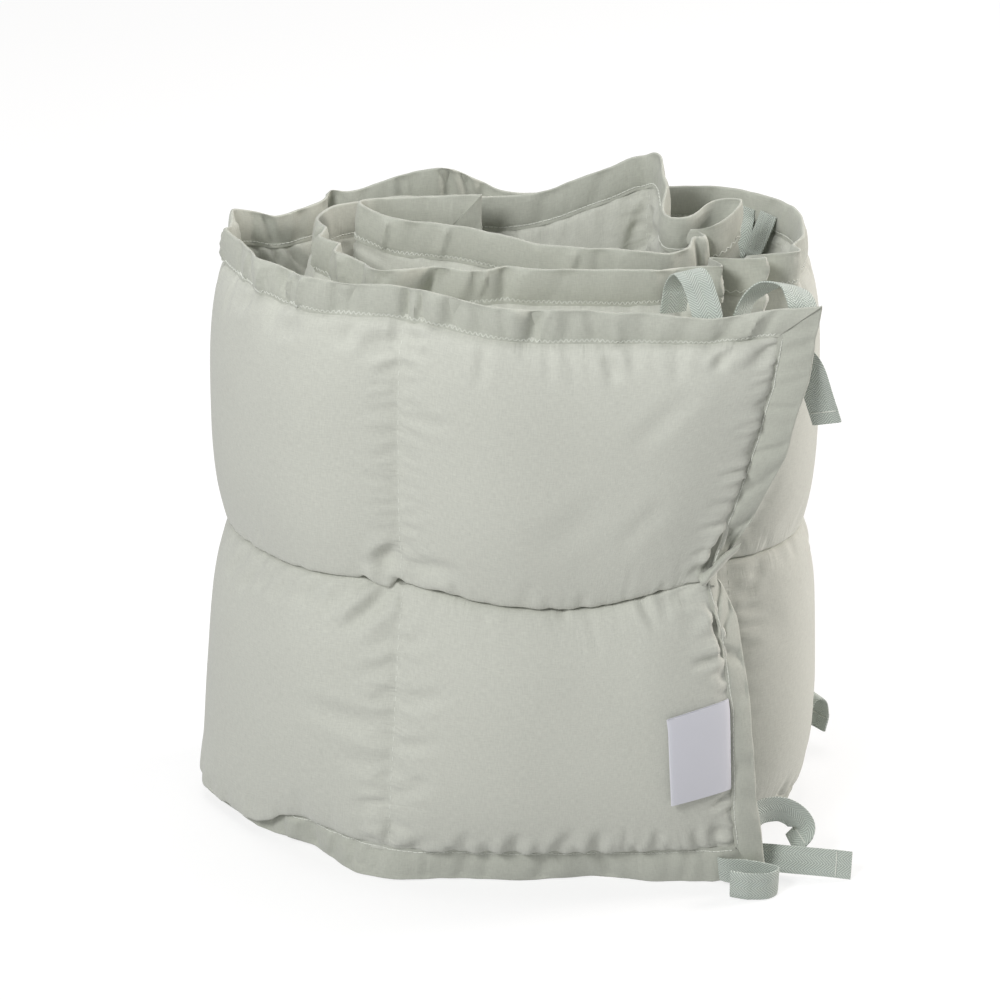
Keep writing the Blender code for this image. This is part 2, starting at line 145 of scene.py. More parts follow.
# How far the outer cells bulge over the outer end's seam, at shares of the height. The label holds
# them back.
END_SCALLOPS = (
    (0.06, 0.10, 0.15, 0.20, 0.26, 0.31, 0.36, 0.41, 0.45, 0.50,
     0.55, 0.59, 0.63, 0.68, 0.73, 0.77, 0.82, 0.87, 0.92),
    (0.40, 0.90, 0.10, 0.00, 0.00, 0.10, 0.90, 1.40, 0.60, 0.00,
     0.50, 1.60, 0.80, 1.70, 0.70, 1.60, 0.60, 1.40, 0.40),
)


def bell(off, reach=1.0):
    return np.exp(-(off / reach) ** 2)


def through_stations(values):
    """A smooth line through the stations' values, PLAN_STEPS points to a span."""
    ends = [2 * values[0] - values[1], *values, 2 * values[-1] - values[-2]]
    line = []
    for before, start, end, after in zip(ends, ends[1:], ends[2:], ends[3:]):
        for step in range(PLAN_STEPS):
            t = step / PLAN_STEPS
            bend = 2 * before - 5 * start + 4 * end - after
            twist = 3 * (start - end) + after - before
            line.append(start + 0.5 * t * (end - before + t * (bend + t * twist)))
    return np.array([*line, values[-1]])


def outer_edge(name, up):
    """A column of OUTER_EDGE, in metres, read at shares of the height."""
    column = [getattr(row, name) * MM for row in OUTER_EDGE]
    return np.interp(up, [row.up for row in OUTER_EDGE], column)


class Roll:
    """The strip's middle surface. along: metres from the outer end. up: share of the height."""

    def __init__(self):
        self.columns = {
            name: through_stations([getattr(row, name) * MM for row in PLAN])
            for name in ("x", "y", "top", "foot_x", "foot_y", "out", "inn", "lift")
        }
        x, y = self.columns["x"], self.columns["y"]
        self.along = np.concatenate([[0], np.cumsum(np.hypot(np.diff(x), np.diff(y)))])
        self.length = self.along[-1]
        marks = [i * PLAN_STEPS for i, row in enumerate(PLAN) if row.seam]
        self.seams = [BINDING, *self.along[marks], self.length - BINDING]

    def read(self, name, along):
        return np.interp(along, self.along, self.columns[name])

    def full(self, along, side):
        """The height of a cell's crown."""
        return np.where(np.asarray(side) > 0, self.read("out", along), self.read("inn", along))

    def point(self, along, up, out=0.0):
        along, up, out = np.broadcast_arrays(*(np.asarray(v, float) for v in (along, up, out)))
        lean, rise = self.waved(along, up)
        at_edge = np.maximum(0, 1 - along / BINDING)
        beyond = np.clip((along - BINDING) / EDGE_REACH, 0, 1)
        pull = (1 + np.cos(np.pi * beyond)) / 2
        drawn = at_edge * outer_edge("edge", up) + (1 - at_edge) * outer_edge("seam", up)
        along = along + pull * drawn
        here, ahead = np.maximum(along - MM, 0), np.minimum(along + MM, self.length)
        run_x = self.read("x", ahead) - self.read("x", here)
        run_y = self.read("y", ahead) - self.read("y", here)
        size = np.hypot(run_x, run_y)
        top = self.read("top", along)
        foot = np.maximum(0, top - STRIP_HEIGHT)
        splay = (1 - np.clip(up, 0, 1)) ** FOOT_SPLAY
        out = out + lean - at_edge * outer_edge("back", up)
        return SHIFT + np.stack([
            self.read("x", along) + splay * self.read("foot_x", along) - run_y / size * out,
            self.read("y", along) + splay * self.read("foot_y", along) + run_x / size * out,
            foot + up * (top - foot) + 4 * up * (1 - up) * self.read("lift", along) + rise,
        ], axis=-1)

    def waved(self, along, up):
        """How far the strip leans out and rises at its waves."""
        lean, rise = np.zeros(along.shape), np.zeros(along.shape)
        for edge, waves in WAVES.items():
            from_edge = (1 - up if edge == "top" else up) * STRIP_HEIGHT
            for wave in (Wave(*row) for row in waves):
                near = np.abs((along - wave.along * MM) / (wave.reach * MM)) ** CRISP
                share = np.exp(-near - (np.maximum(from_edge, 0) / (wave.fall * MM)) ** 2)
                lean += wave.lean * MM * share
                rise += wave.rise * MM * share
        return lean, rise

    def overhang(self, along, up, side):
        """How far a point moves towards the nearest seam along the strip, as a share of the
        height: a full cell bulges over its seams until it meets its neighbour."""
        low = BINDING / STRIP_HEIGHT
        moved = np.zeros(np.broadcast(along, up).shape)
        reach = OVERHANG * self.full(along, side)
        for seam, share in zip((low, 0.5, 1 - low), SEAM_OVERHANG):
            off = (up - seam) * STRIP_HEIGHT
            moved -= share * off * bell(off, reach)
        above = (up - low) * STRIP_HEIGHT
        hang = np.clip(above / SAG_START, 0, 1) ** 0.6
        hang = hang * bell(np.maximum(above - SAG_START, 0), SAG_REACH)
        for sag in SAGS:
            near = np.exp(-((along - sag.along * MM) / (sag.half * MM)) ** 6)
            moved -= np.where(np.asarray(side) > 0, near * hang * sag.drop * MM, 0)
        return np.where((up > low) & (up < 1 - low), moved / STRIP_HEIGHT, 0)

    def end_overhang(self, along, up, side):
        """How far a point moves towards the outer end, whose seam the cells bulge over."""
        off = np.maximum(along - BINDING, 0)
        scallop = np.interp(up, *END_SCALLOPS)
        reach = OVERHANG * self.read("out", along)
        return np.where(np.asarray(side) > 0, scallop * off * bell(off, reach), 0)

    def crown(self, along, up, side, shut=True):
        """Half the quilt's thickness on one side: 1 faces out of the roll, -1 into it. shut says
        whether the seams across the strip draw it in."""
        low = BINDING / STRIP_HEIGHT
        across = np.clip((up - low) / (1 - 2 * low), 0, 1) * ROWS
        share = across - np.minimum(np.floor(across), ROWS - 1)
        dome = (1 - np.abs(2 * share - 1) ** CELL_ROUND[0]) ** CELL_ROUND[1]
        cell = np.clip(np.searchsorted(self.seams, along + 1e-6) - 1, 0, len(self.seams) - 2)
        seams = np.array(self.seams)
        place = np.clip((along - seams[cell]) / (seams[cell + 1] - seams[cell]), 0, 1)
        inside = (1 - np.abs(2 * place - 1) ** CELL_ENDS[0]) ** CELL_ENDS[1]
        rise = CROSS_SEAM_RISE + (1 - CROSS_SEAM_RISE) * inside
        to_end = np.clip(np.minimum(along - seams[0], seams[-1] - along) / END_ROUND, 0, 1)
        closing = np.sin(np.pi / 2 * to_end) ** END_FULL
        return HEM_THICK / 2 + self.full(along, side) * dome * (rise * closing if shut else 1.0)


roll = Roll()

# ==== Blanks: every piece starts flat and closed, and its points are then set on the roll.


def blank(columns, rows):
    """A closed slab, one unit to each column and row, whose two sides are at z 0 and z 1."""
    mesh = bmesh.new()
    bmesh.ops.create_grid(mesh, x_segments=columns, y_segments=rows, size=0.5)
    bmesh.ops.translate(mesh, verts=mesh.verts, vec=(0.5, 0.5, 0))
    bmesh.ops.scale(mesh, verts=mesh.verts, vec=(columns, rows, 1))
    raised = bmesh.ops.extrude_face_region(mesh, geom=mesh.faces[:])
    lifted = [item for item in raised["geom"] if isinstance(item, bmesh.types.BMVert)]
    bmesh.ops.translate(mesh, verts=lifted, vec=(0, 0, 1))
    bmesh.ops.recalc_face_normals(mesh, faces=mesh.faces)
    return mesh


def add_object(name, data):
    made = bpy.data.objects.new(name, data)
    bpy.context.scene.collection.objects.link(made)
    return made


def shaped(name, columns, rows, place, flat, material):
    """Makes a piece from a blank. place says where each point goes, and flat where it was on
    the cloth before, in metres, which is its UV map."""
    mesh = blank(columns, rows)
    spots = np.rint([vert.co for vert in mesh.verts]).astype(int)
    column, row, side = spots[:, 0], spots[:, 1], np.where(spots[:, 2] > 0, 1, -1)
    placed = place(column, row, side)
    cloth = np.stack(np.broadcast_arrays(*flat(column, row)), axis=-1)
    for vert, spot in zip(mesh.verts, placed):
        vert.co = spot
    if mesh.calc_volume(signed=True) < 0:
        bmesh.ops.reverse_faces(mesh, faces=mesh.faces)
    data = bpy.data.meshes.new(name)
    mesh.to_mesh(data)
    mesh.free()
    corners = np.empty(len(data.loops), int)
    data.loops.foreach_get("vertex_index", corners)
    data.uv_layers.new(name="cloth").data.foreach_set("uv", cloth[corners].ravel())
    data.attributes.new("side", "FLOAT", "POINT").data.foreach_set("value", side.astype(float))
    data.shade_smooth()
    data.set_sharp_from_angle(angle=math.radians(60))
    data.materials.append(material)
    return add_object(name, data)


def crimp(piece, along, up):
    """How much the cloth is gathered at each point, along the strip and up it: 0 is smooth."""
    for name, amount in (("crimped_along", along), ("crimped_up", up)):
        values = np.zeros(len(piece.data.vertices)) + amount
        piece.data.attributes.new(name, "FLOAT", "POINT").data.foreach_set("value", values)


def ripple(seed, step, length=2.0):
    """A smooth uneven line, between -1 and 1, that changes about once a step."""
    dice = random.Random(seed)
    count = int(length / step) + 4
    values = np.array([dice.uniform(-1, 1) for _ in range(count)])

    def read(along):
        place = np.clip(np.asarray(along, float) / step + 1, 1, count - 2.001)
        cell = place.astype(int)
        share = place - cell
        ease = share * share * (3 - 2 * share)
        return values[cell] * (1 - ease) + values[cell + 1] * ease

    return read


# ==== Finishes.

CRIMP = 42.0  # height of the small creases that a seam gathers beside it, in the bump's own unit


def new_group(name, inputs, outputs):
    group = bpy.data.node_groups.new(name, "ShaderNodeTree")
    for label, value in inputs.items():
        kind = "NodeSocketColor" if isinstance(value, tuple) else "NodeSocketFloat"
        socket = group.interface.new_socket(label, in_out="INPUT", socket_type=kind)
        socket.default_value = value
    for label, kind in outputs.items():
        group.interface.new_socket(label, in_out="OUTPUT", socket_type=kind)
    return group, group.nodes.new("NodeGroupInput"), group.nodes.new("NodeGroupOutput")


def shader_node(tree, kind, inputs, **settings):
    """A node whose inputs are each given a value, or an output to read."""
    node = tree.nodes.new("ShaderNode" + kind)
    for name, value in settings.items():
        setattr(node, name, value)
    for name, value in inputs.items():
        if isinstance(value, bpy.types.NodeSocket):
            tree.links.new(value, node.inputs[name])
        else:
            node.inputs[name].default_value = value
    return node


def noise(tree, vector, scale, detail=2.0):
    inputs = {"Vector": vector, "Scale": scale, "Detail": detail}
    return shader_node(tree, "TexNoise", inputs).outputs["Fac"]


def stretched(tree, vector, scale):
    inputs = {"Vector": vector, "Scale": scale}
    return shader_node(tree, "Mapping", inputs).outputs["Vector"]


def reckon(tree, operation, *values):
    return shader_node(tree, "Math", dict(enumerate(values)), operation=operation).outputs[0]


def shaded(tree, colour, amount):
    """The colour made darker or lighter by amount, which is 1 where nothing changes."""
    inputs = {0: colour, "Scale": amount}
    return shader_node(tree, "VectorMath", inputs, operation="SCALE").outputs[0]


def on_cloth(tree):
    """The place on the flat cloth, in metres, and its two parts."""
    place = shader_node(tree, "UVMap", {}, uv_map="cloth").outputs["UV"]
    return place, *shader_node(tree, "SeparateXYZ", {0: place}).outputs


def woven_group():
    """Plain weave: fine threads both ways, thicker slubs, and soft clouds of tone."""
    group, given, put = new_group(
        "plain_weave",
        {"Colour": (0.5, 0.5, 0.5, 1), "Threads a metre": 2600.0, "Slubs": 0.24, "Clouds": 0.07,
         "Creases": 3.0},
        {"Colour": "NodeSocketColor", "Height": "NodeSocketFloat"},
    )
    place, across, down, _ = on_cloth(group)
    turn = reckon(group, "MULTIPLY", given.outputs["Threads a metre"], math.pi)
    phases = [reckon(group, "MULTIPLY", way, turn) for way in (across, down)]
    threads = [reckon(group, "ABSOLUTE", reckon(group, "SINE", phase)) for phase in phases]
    weave = reckon(group, "MULTIPLY", *threads)
    warp = noise(group, stretched(group, place, (320, 1900, 1)), 1.0, 2.0)
    weft = noise(group, stretched(group, place, (1900, 320, 1)), 1.0, 2.0)
    slub = reckon(group, "SUBTRACT", reckon(group, "ADD", warp, weft), 1.0)
    cloud = reckon(group, "SUBTRACT", noise(group, place, 22.0, 3.0), 0.5)
    tone = reckon(group, "MULTIPLY_ADD", slub, given.outputs["Slubs"], 1.0)
    tone = reckon(group, "MULTIPLY_ADD", cloud, given.outputs["Clouds"], tone)
    group.links.new(shaded(group, given.outputs["Colour"], tone), put.inputs["Colour"])
    height = reckon(group, "MULTIPLY_ADD", slub, 0.8, reckon(group, "MULTIPLY", weave, 0.5))
    creases = noise(group, place, 110.0, 4.0)
    height = reckon(group, "MULTIPLY_ADD", creases, given.outputs["Creases"], height)
    patches = reckon(group, "MULTIPLY_ADD", noise(group, place, 75.0, 1.0), 3.5, -1.45)
    patches = reckon(group, "MINIMUM", reckon(group, "MAXIMUM", patches, 0.0), 1.0)
    for crimped, scale in (("crimped_along", (270, 50, 1)), ("crimped_up", (50, 270, 1))):
        waves = noise(group, stretched(group, place, scale), 1.0, 1.0)
        waves = reckon(group, "SUBTRACT", waves, 0.5)
        amount = shader_node(group, "Attribute", {}, attribute_name=crimped).outputs["Fac"]
        strength = reckon(group, "MULTIPLY", amount, CRIMP)
        strength = reckon(group, "MULTIPLY", strength, patches)
        height = reckon(group, "MULTIPLY_ADD", reckon(group, "ABSOLUTE", waves), strength, height)
    group.links.new(height, put.inputs["Height"])
    return group


def twill_group():
    """Herringbone: slanting ribs that turn back at every column across the tape."""
    group, given, put = new_group(
        "herringbone",
        {"Colour": (0.5, 0.5, 0.5, 1), "Rib": 0.0014, "Column": 0.0036},
        {"Colour": "NodeSocketColor", "Height": "NodeSocketFloat"},
    )
    place, across, down, _ = on_cloth(group)
    zigzag = reckon(group, "PINGPONG", down, given.outputs["Column"])
    slant = reckon(group, "MULTIPLY_ADD", zigzag, 1.1, across)
    phase = reckon(group, "DIVIDE", slant, given.outputs["Rib"])
    phase = reckon(group, "MULTIPLY", phase, 2 * math.pi)
    rib = reckon(group, "MULTIPLY_ADD", reckon(group, "SINE", phase), 0.5, 0.5)
    fuzz = noise(group, stretched(group, place, (1800, 1800, 1)), 1.0, 2.0)
    tone = reckon(group, "MULTIPLY_ADD", rib, 0.5, 0.6)
    tone = reckon(group, "MULTIPLY_ADD", fuzz, 0.16, tone)
    group.links.new(shaded(group, given.outputs["Colour"], tone), put.inputs["Colour"])
    group.links.new(reckon(group, "MULTIPLY_ADD", fuzz, 0.3, rib), put.inputs["Height"])
    return group


def new_material(name, constants):
    made = bpy.data.materials.new(name)
    made.use_nodes = True
    shader = made.node_tree.nodes["Principled BSDF"]
    for label, value in constants.items():
        shader.inputs[label].default_value = value
    return made, made.node_tree, shader


def fabric(name, group, values, roughness, bump, depth):
    """A matt cloth: its colour and height come from the group, its sheen from the shader."""
    constants = {"Roughness": roughness, "Sheen Weight": 0.25, "Sheen Roughness": 0.6,
                 "Specular IOR Level": 0.2}
    made, tree, shader = new_material(name, constants)
    weave = shader_node(tree, "Group", {}, node_tree=group)
    for label, value in values.items():
        weave.inputs[label].default_value = value
    height = weave.outputs["Height"]
    lump = shader_node(tree, "Bump", {"Strength": bump, "Distance": depth, "Height": height})
    tree.links.new(weave.outputs["Colour"], shader.inputs["Base Color"])
    tree.links.new(lump.outputs["Normal"], shader.inputs["Normal"])
    return made


PLAIN_WEAVE = woven_group()
HERRINGBONE = twill_group()
COTTON = fabric(
    "cotton", PLAIN_WEAVE, {"Colour": (0.555, 0.567, 0.508, 1)}, 0.92, 0.5, 0.12 * MM)
BINDING_CLOTH = fabric(
    "binding_cotton", PLAIN_WEAVE,
    {"Colour": (0.475, 0.49, 0.43, 1), "Clouds": 0.09, "Creases": 4.0}, 0.92, 0.5, 0.12 * MM)
THREAD = fabric(
    "thread", PLAIN_WEAVE, {"Colour": (0.72, 0.74, 0.68, 1), "Creases": 0.0}, 0.7, 0.2, 0.05 * MM)
TWILL = fabric(
    "twill_tape", HERRINGBONE, {"Colour": (0.50, 0.55, 0.50, 1)}, 0.9, 0.8, 0.25 * MM)
LABEL_CLOTH = fabric(
    "label_tape", PLAIN_WEAVE,
    {"Colour": (0.64, 0.645, 0.70, 1), "Threads a metre": 5000.0, "Slubs": 0.02, "Clouds": 0.02,
     "Creases": 0.5}, 0.75, 0.3, 0.05 * MM)

# ==== The quilt.

QUILT_STEP = 3.0 * MM  # to a column where the strip is on the outside of the roll
INNER_STEP = 4.5 * MM
INNER_FROM = 0.93  # metres along the strip, where the outer turn ends
QUILT_ROWS = 42  # to each row of cells
TUCK = 2.5 * MM  # of the quilt's rim, inside the binding
RIM_HALF = 0.4 * MM  # half its thickness there
QUILT_CLEAR = 0.3 * MM  # above the floor
AT_SEAM = 0.1 * MM  # a point this near a seam is on it
PRESSURE = 4.0
FRAMES = 20
SLACK = 0.02  # of cloth to spare along the strip
GIVE = 4.0 * MM  # how far the filling may push a point of the outer turn
INNER_GIVE = 2.0 * MM
CREST_HEIGHTS = (0.27, 0.73)  # shares of the height where the cells are fullest

# A fold across the quilt: where its middle is, in millimetres along the strip and above its foot,
# which way it runs (0 is along the strip, 90 up it), its length, half its width, and how deep it
# goes, below 0 for a ridge. side: 1 faces out of the roll.
Fold = namedtuple("Fold", "along height angle length width depth side", defaults=[1])
FOLD_LIP = (0.35, 1.7, 0.8)  # on either side: its height, place and width, as shares of the fold's
FOLD_TAPER = 1.5  # the power that it runs out with
FOLDS = [Fold(*row) for row in [
    (188, 158, 138, 20, 4.2, 3.6), (194, 133, -42, 40, 3.6, 3.4), (199, 136, -38, 40, 3.0, -1.4),
    (199, 140, -9, 21, 3.2, 1.9), (192, 150, 28, 18, 4.5, -3.0), (183, 147, 60, 12, 2.2, 2.2),
    (180, 135, -123, 9, 2.4, 1.4), (166, 159, 165, 29, 3.5, 1.7), (167, 153, 167, 27, 3.5, -1.2),
    (187, 233, 14, 20, 2.8, 1.3), (167, 232, 176, 27, 3.0, 1.3), (187, 251, -11, 14, 3.0, 1.2),
    (191, 263, -24, 24, 4.5, 2), (176, 267, -149, 12, 4.0, 2.3), (267, 268, -25, 28, 4.0, 1.4),
    (232, 265, -26, 18, 4.0, 1.4), (207, 266, -19, 18, 4.0, 1.2), (279, 132, -40, 26, 3.2, 1.5),
    (264, 131, -42, 28, 3.2, 1.7), (252, 133, -40, 22, 3.0, 1.5), (238, 133, -36, 22, 3.2, 1.6),
    (224, 134, -34, 20, 3.2, 1.6), (211, 134, -42, 16, 3.0, 1.4), (188, 118, -16, 18, 3.2, 1.4),
    (190, 105, -13, 24, 3.5, 1.4), (187, 93, -12, 15, 3.0, 1.2), (202, 80, 7, 50, 5.0, 1.9),
    (194, 60, -4, 32, 4.5, 1.2), (191, 38, -17, 25, 4.0, 1.2), (173, 122, 152, 20, 3.2, 1.2),
    (168, 96, 154, 30, 3.5, 1.3), (169, 74, 157, 28, 3.5, 1), (170, 52, 147, 24, 3.5, 1.2),
    (63, 238, -43, 46, 6.0, 0.8), (64, 186, -37, 34, 6.0, 0.7), (105, 190, -30, 60, 8.0, 0.7),
    (40, 264, -83, 12, 3.0, 2.2), (89, 264, -119, 14, 3.2, 2.2), (24, 262, -62, 18, 3.5, 2),
    (130, 24, -77, 20, 3.2, 2.2), (111, 24, -67, 22, 3.2, 2.2), (91, 25, -67, 24, 3.2, 2),
    (149, 24, -72, 20, 3.2, 1.6), (59, 24, -63, 20, 3.0, 1.4), (168, 22, -42, 20, 3.2, 1.7),
    (189, 20, 2, 16, 3.4, 2), (19, 121, -38, 18, 3.2, 2.9), (26, 108, 0, 12, 2.6, 1.7),
    (30, 139, -5, 22, 3.2, 1.9), (18, 161, 85, 22, 2.4, 4.0), (18, 120, 88, 30, 2.0, 3.0),
    (197, 147, 20, 9, 2.6, 3.0), (49, 136, -121, 18, 3.0, 1.2), (107, 142, -113, 14, 3.0, 1.2),
    (365, 264, -50, 40, 2.6, 2.3, -1), (359, 262, -48, 44, 2.6, 2.3, -1),
    (352, 260, -46, 44, 2.8, 2, -1), (344, 258, -44, 40, 2.8, 1.7, -1),
    (1143, 254, -109, 30, 3.5, 2.9, -1), (1150, 252, -117, 34, 3.5, 2.6, -1),
    (1160, 255, -144, 32, 3.0, 2.3, -1), (721, 266, 24, 18, 3.0, 1.9),
    (742, 262, 100, 34, 3.0, 2.3), (731, 262, 80, 30, 3.0, 1.7),
]]

# Small puckers that run out from the seams: how far apart, how long, how wide and how deep, in
# millimetres, and how far they stray from square to the seam, in degrees.
Pucker = namedtuple("Pucker", "every reach width depth slant")
PUCKERS = {
    "top": Pucker(every=13, reach=(9, 26), width=(2.0, 3.6), depth=(0.3, 1.3), slant=22),
    "middle": Pucker(every=14, reach=(9, 30), width=(2.2, 4.0), depth=(0.1, 0.7), slant=32),
    "foot": Pucker(every=11, reach=(9, 26), width=(2.0, 3.4), depth=(0.5, 1.7), slant=22),
    "across": Pucker(every=6, reach=(8, 24), width=(1.4, 2.4), depth=(0.3, 1.0), slant=18),
    "end": Pucker(every=6.5, reach=(5, 18), width=(1.5, 2.4), depth=(0.8, 2.0), slant=22),
}
PUCKER_SEED = 5
PUCKER_UNEVEN = (0.45, 1.7)  # shares of the distance between two
PUCKER_START = 0.8  # of its half length: how far its middle lies from the seam
CRIMP_REACH = 9 * MM
CRIMP_LEVEL = 0.8  # how much the seams along the strip gather it, against the ones across it

# Long soft folds that the filling leaves in a cell, strewn where none is listed one by one: how
# many to a cell and side, and how they slant, how long they are, how far from a corner they start,
# how wide and how deep they are, in degrees and millimetres.
DragFold = namedtuple("DragFold", "count slant length gap width depth")
DRAG = DragFold(9, (12, 78), (26, 60), (2, 12), (3.5, 6.5), (0.4, 1.3))
CELL_HEIGHTS = ((16, 145), (145, 274))  # each row of cells, in millimetres above the foot
PLACED_BY_HAND = 300  # millimetres from the outer end, on the outside


def strip_places():
    """Columns of the quilt, with one on every seam across it and one inside each end binding."""
    places = [BINDING - TUCK, BINDING]
    for start, end in zip(roll.seams, roll.seams[1:]):
        step = QUILT_STEP if start < INNER_FROM else INNER_STEP
        places += list(np.linspace(start, end, math.ceil((end - start) / step) + 1)[1:])
    return np.array([*places, places[-1] + TUCK])


def quilt_heights():
    """Rows of the quilt, a little closer together beside the seams along it."""
    low = BINDING / STRIP_HEIGHT
    steps = np.arange(QUILT_ROWS) / QUILT_ROWS
    steps = (steps + (1 - np.cos(np.pi * steps)) / 2) / 2
    shares = np.concatenate([(row + steps) / ROWS for row in range(ROWS)] + [[1.0]])
    tuck = TUCK / STRIP_HEIGHT
    return np.array([low - tuck, *(low + shares * (1 - 2 * low)), 1 - low + tuck])


def cloth_map(piece):
    """Where each point was on the flat strip, in metres along and up, and which side it is on."""
    data = piece.data
    corners, spots = np.empty(len(data.loops), int), np.empty(2 * len(data.loops))
    data.loops.foreach_get("vertex_index", corners)
    data.uv_layers["cloth"].data.foreach_get("uv", spots)
    flat, side = np.zeros((len(data.vertices), 2)), np.empty(len(data.vertices))
    flat[corners] = spots.reshape(-1, 2)
    data.attributes["side"].data.foreach_get("value", side)
    return flat[:, 0], flat[:, 1], side


def points_of(data):
    spots = np.empty(3 * len(data.vertices))
    data.vertices.foreach_get("co", spots)
    return spots.reshape(-1, 3)


def normals_of(data):
    turned = np.empty(3 * len(data.vertices))
    data.vertex_normals.foreach_get("vector", turned)
    return turned.reshape(-1, 3)


def sink(piece, depths):
    """Pushes each point into the piece, or lifts it where its depth is below 0."""
    data = piece.data
    moved = points_of(data) - normals_of(data) * depths[:, None]
    data.vertices.foreach_set("co", moved.ravel())
    data.update()


def fold_depths(piece, folds):
    """How deep the folds are at each point. A fold has a soft lip on either side."""
    along, height, side = cloth_map(piece)
    order = np.argsort(along)
    along, height, side = along[order], height[order], side[order]
    sunk = np.zeros(len(along))
    for fold in folds:
        reach = (fold.length / 2 + 4 * fold.width) * MM
        first, last = np.searchsorted(along, (fold.along * MM - reach, fold.along * MM + reach))
        here = slice(first, last)
        turn = math.radians(fold.angle)
        east, north = along[here] - fold.along * MM, height[here] - fold.height * MM
        run = (east * math.cos(turn) + north * math.sin(turn)) / (fold.length / 2 * MM)
        off = (north * math.cos(turn) - east * math.sin(turn)) / (fold.width * MM)
        near = (side[here] * fold.side > 0) & (np.abs(run) < 1)
        trough = bell(off) - FOLD_LIP[0] * bell(np.abs(off) - FOLD_LIP[1], FOLD_LIP[2])
        taper = (1 - np.minimum(run ** 2, 1)) ** FOLD_TAPER
        sunk[here] += np.where(near, fold.depth * MM * trough * taper, 0)
    depths = np.empty(len(along))
    depths[order] = sunk
    return depths


def seam_lines():
    """Each seam as its kind, where it starts and ends, where it lies, and the ways out of it."""
    low, high, middle = BINDING / MM, (STRIP_HEIGHT - BINDING) / MM, STRIP_HEIGHT / 2 / MM
    length = roll.length / MM
    lines = [
        ("foot", low, length, low, (90,)),
        ("top", low, length, high, (270,)),
        ("middle", low, length, middle, (90, 270)),
        ("end", low, high, roll.seams[0] / MM, (0,)),
        ("end", low, high, roll.seams[-1] / MM, (180,)),
    ]
    return lines + [("across", low, high, seam / MM, (0, 180)) for seam in roll.seams[1:-1]]


def seam_puckers():
    """Folds that start on the seams, strewn unevenly along both sides of each."""
    dice = random.Random(PUCKER_SEED)
    folds = []
    for kind, start, end, seam, ways in seam_lines():
        make = PUCKERS[kind]
        for way in ways:
            for side in (1, -1):
                at = start
                while at < end:
                    at += make.every * dice.uniform(*PUCKER_UNEVEN)
                    reach, depth = dice.uniform(*make.reach), dice.uniform(*make.depth)
                    angle = way + dice.gauss(0, make.slant / 2)
                    east = math.cos(math.radians(angle)) * reach / 2 * PUCKER_START
                    north = math.sin(math.radians(angle)) * reach / 2 * PUCKER_START
                    upright = kind in ("end", "across")
                    spot = (seam + east, at + north) if upright else (at + east, seam + north)
                    folds.append(Fold(*spot, angle, reach, dice.uniform(*make.width), depth, side))
    return folds


def drag_folds():
    """Long soft folds that run out from the corners of the cells."""
    dice = random.Random(PUCKER_SEED + 1)
    folds = []
    seams = [seam / MM for seam in roll.seams]
    for start, end in zip(seams, seams[1:]):
        for low, high in CELL_HEIGHTS:
            for side in (1, -1):
                for _ in range(DRAG.count):
                    right, upper = dice.random() < 0.5, dice.random() < 0.5
                    out_from = (end if right else start, high if upper else low)
                    angle = dice.uniform(*DRAG.slant)
                    angle = 180 - angle if right else angle
                    angle = -angle if upper else angle
                    length = dice.uniform(*DRAG.length)
                    reach = length / 2 + dice.uniform(*DRAG.gap)
                    east, north = math.cos(math.radians(angle)), math.sin(math.radians(angle))
                    spot = out_from[0] + east * reach, out_from[1] + north * reach
                    width, depth = dice.uniform(*DRAG.width), dice.uniform(*DRAG.depth)
                    if side < 0 or start > PLACED_BY_HAND:
                        folds.append(Fold(*spot, angle, length, width, depth, side))
    return folds


def cut_flat(piece, places, ups):
    """The quilt's points as its cloth was cut: flat, and large enough for the crown."""
    along, height, side = cloth_map(piece)
    column = np.searchsorted(places, along - 0.01 * MM)
    row = np.searchsorted(ups, height / STRIP_HEIGHT - 1e-5)
    flat = np.zeros((len(along), 3))
    grid = np.meshgrid(places, ups, indexing="ij")
    for facing in (1, -1):
        crests = [
            roll.point(places, up, facing * roll.crown(places, up, facing)) for up in CREST_HEIGHTS
        ]
        lines = (roll.point(places, 0.5), np.mean(crests, axis=0))
        steps = [np.linalg.norm(np.diff(line, axis=0), axis=1) for line in lines]
        runs = np.concatenate([[0], np.cumsum(np.maximum(steps[0] * (1 + SLACK), steps[1]))])
        crown = roll.crown(*grid, facing, shut=False)
        rises = np.hypot(np.diff(grid[1], axis=1) * STRIP_HEIGHT, np.diff(crown, axis=1))
        climbs = np.concatenate([np.zeros((len(places), 1)), np.cumsum(rises, axis=1)], axis=1)
        climbs -= climbs.mean(axis=1, keepdims=True)
        here = side * facing > 0
        flat[here, 0] = runs[column[here]]
        flat[here, 1] = climbs[column[here], row[here]]
        flat[here, 2] = facing * RIM_HALF
    return flat


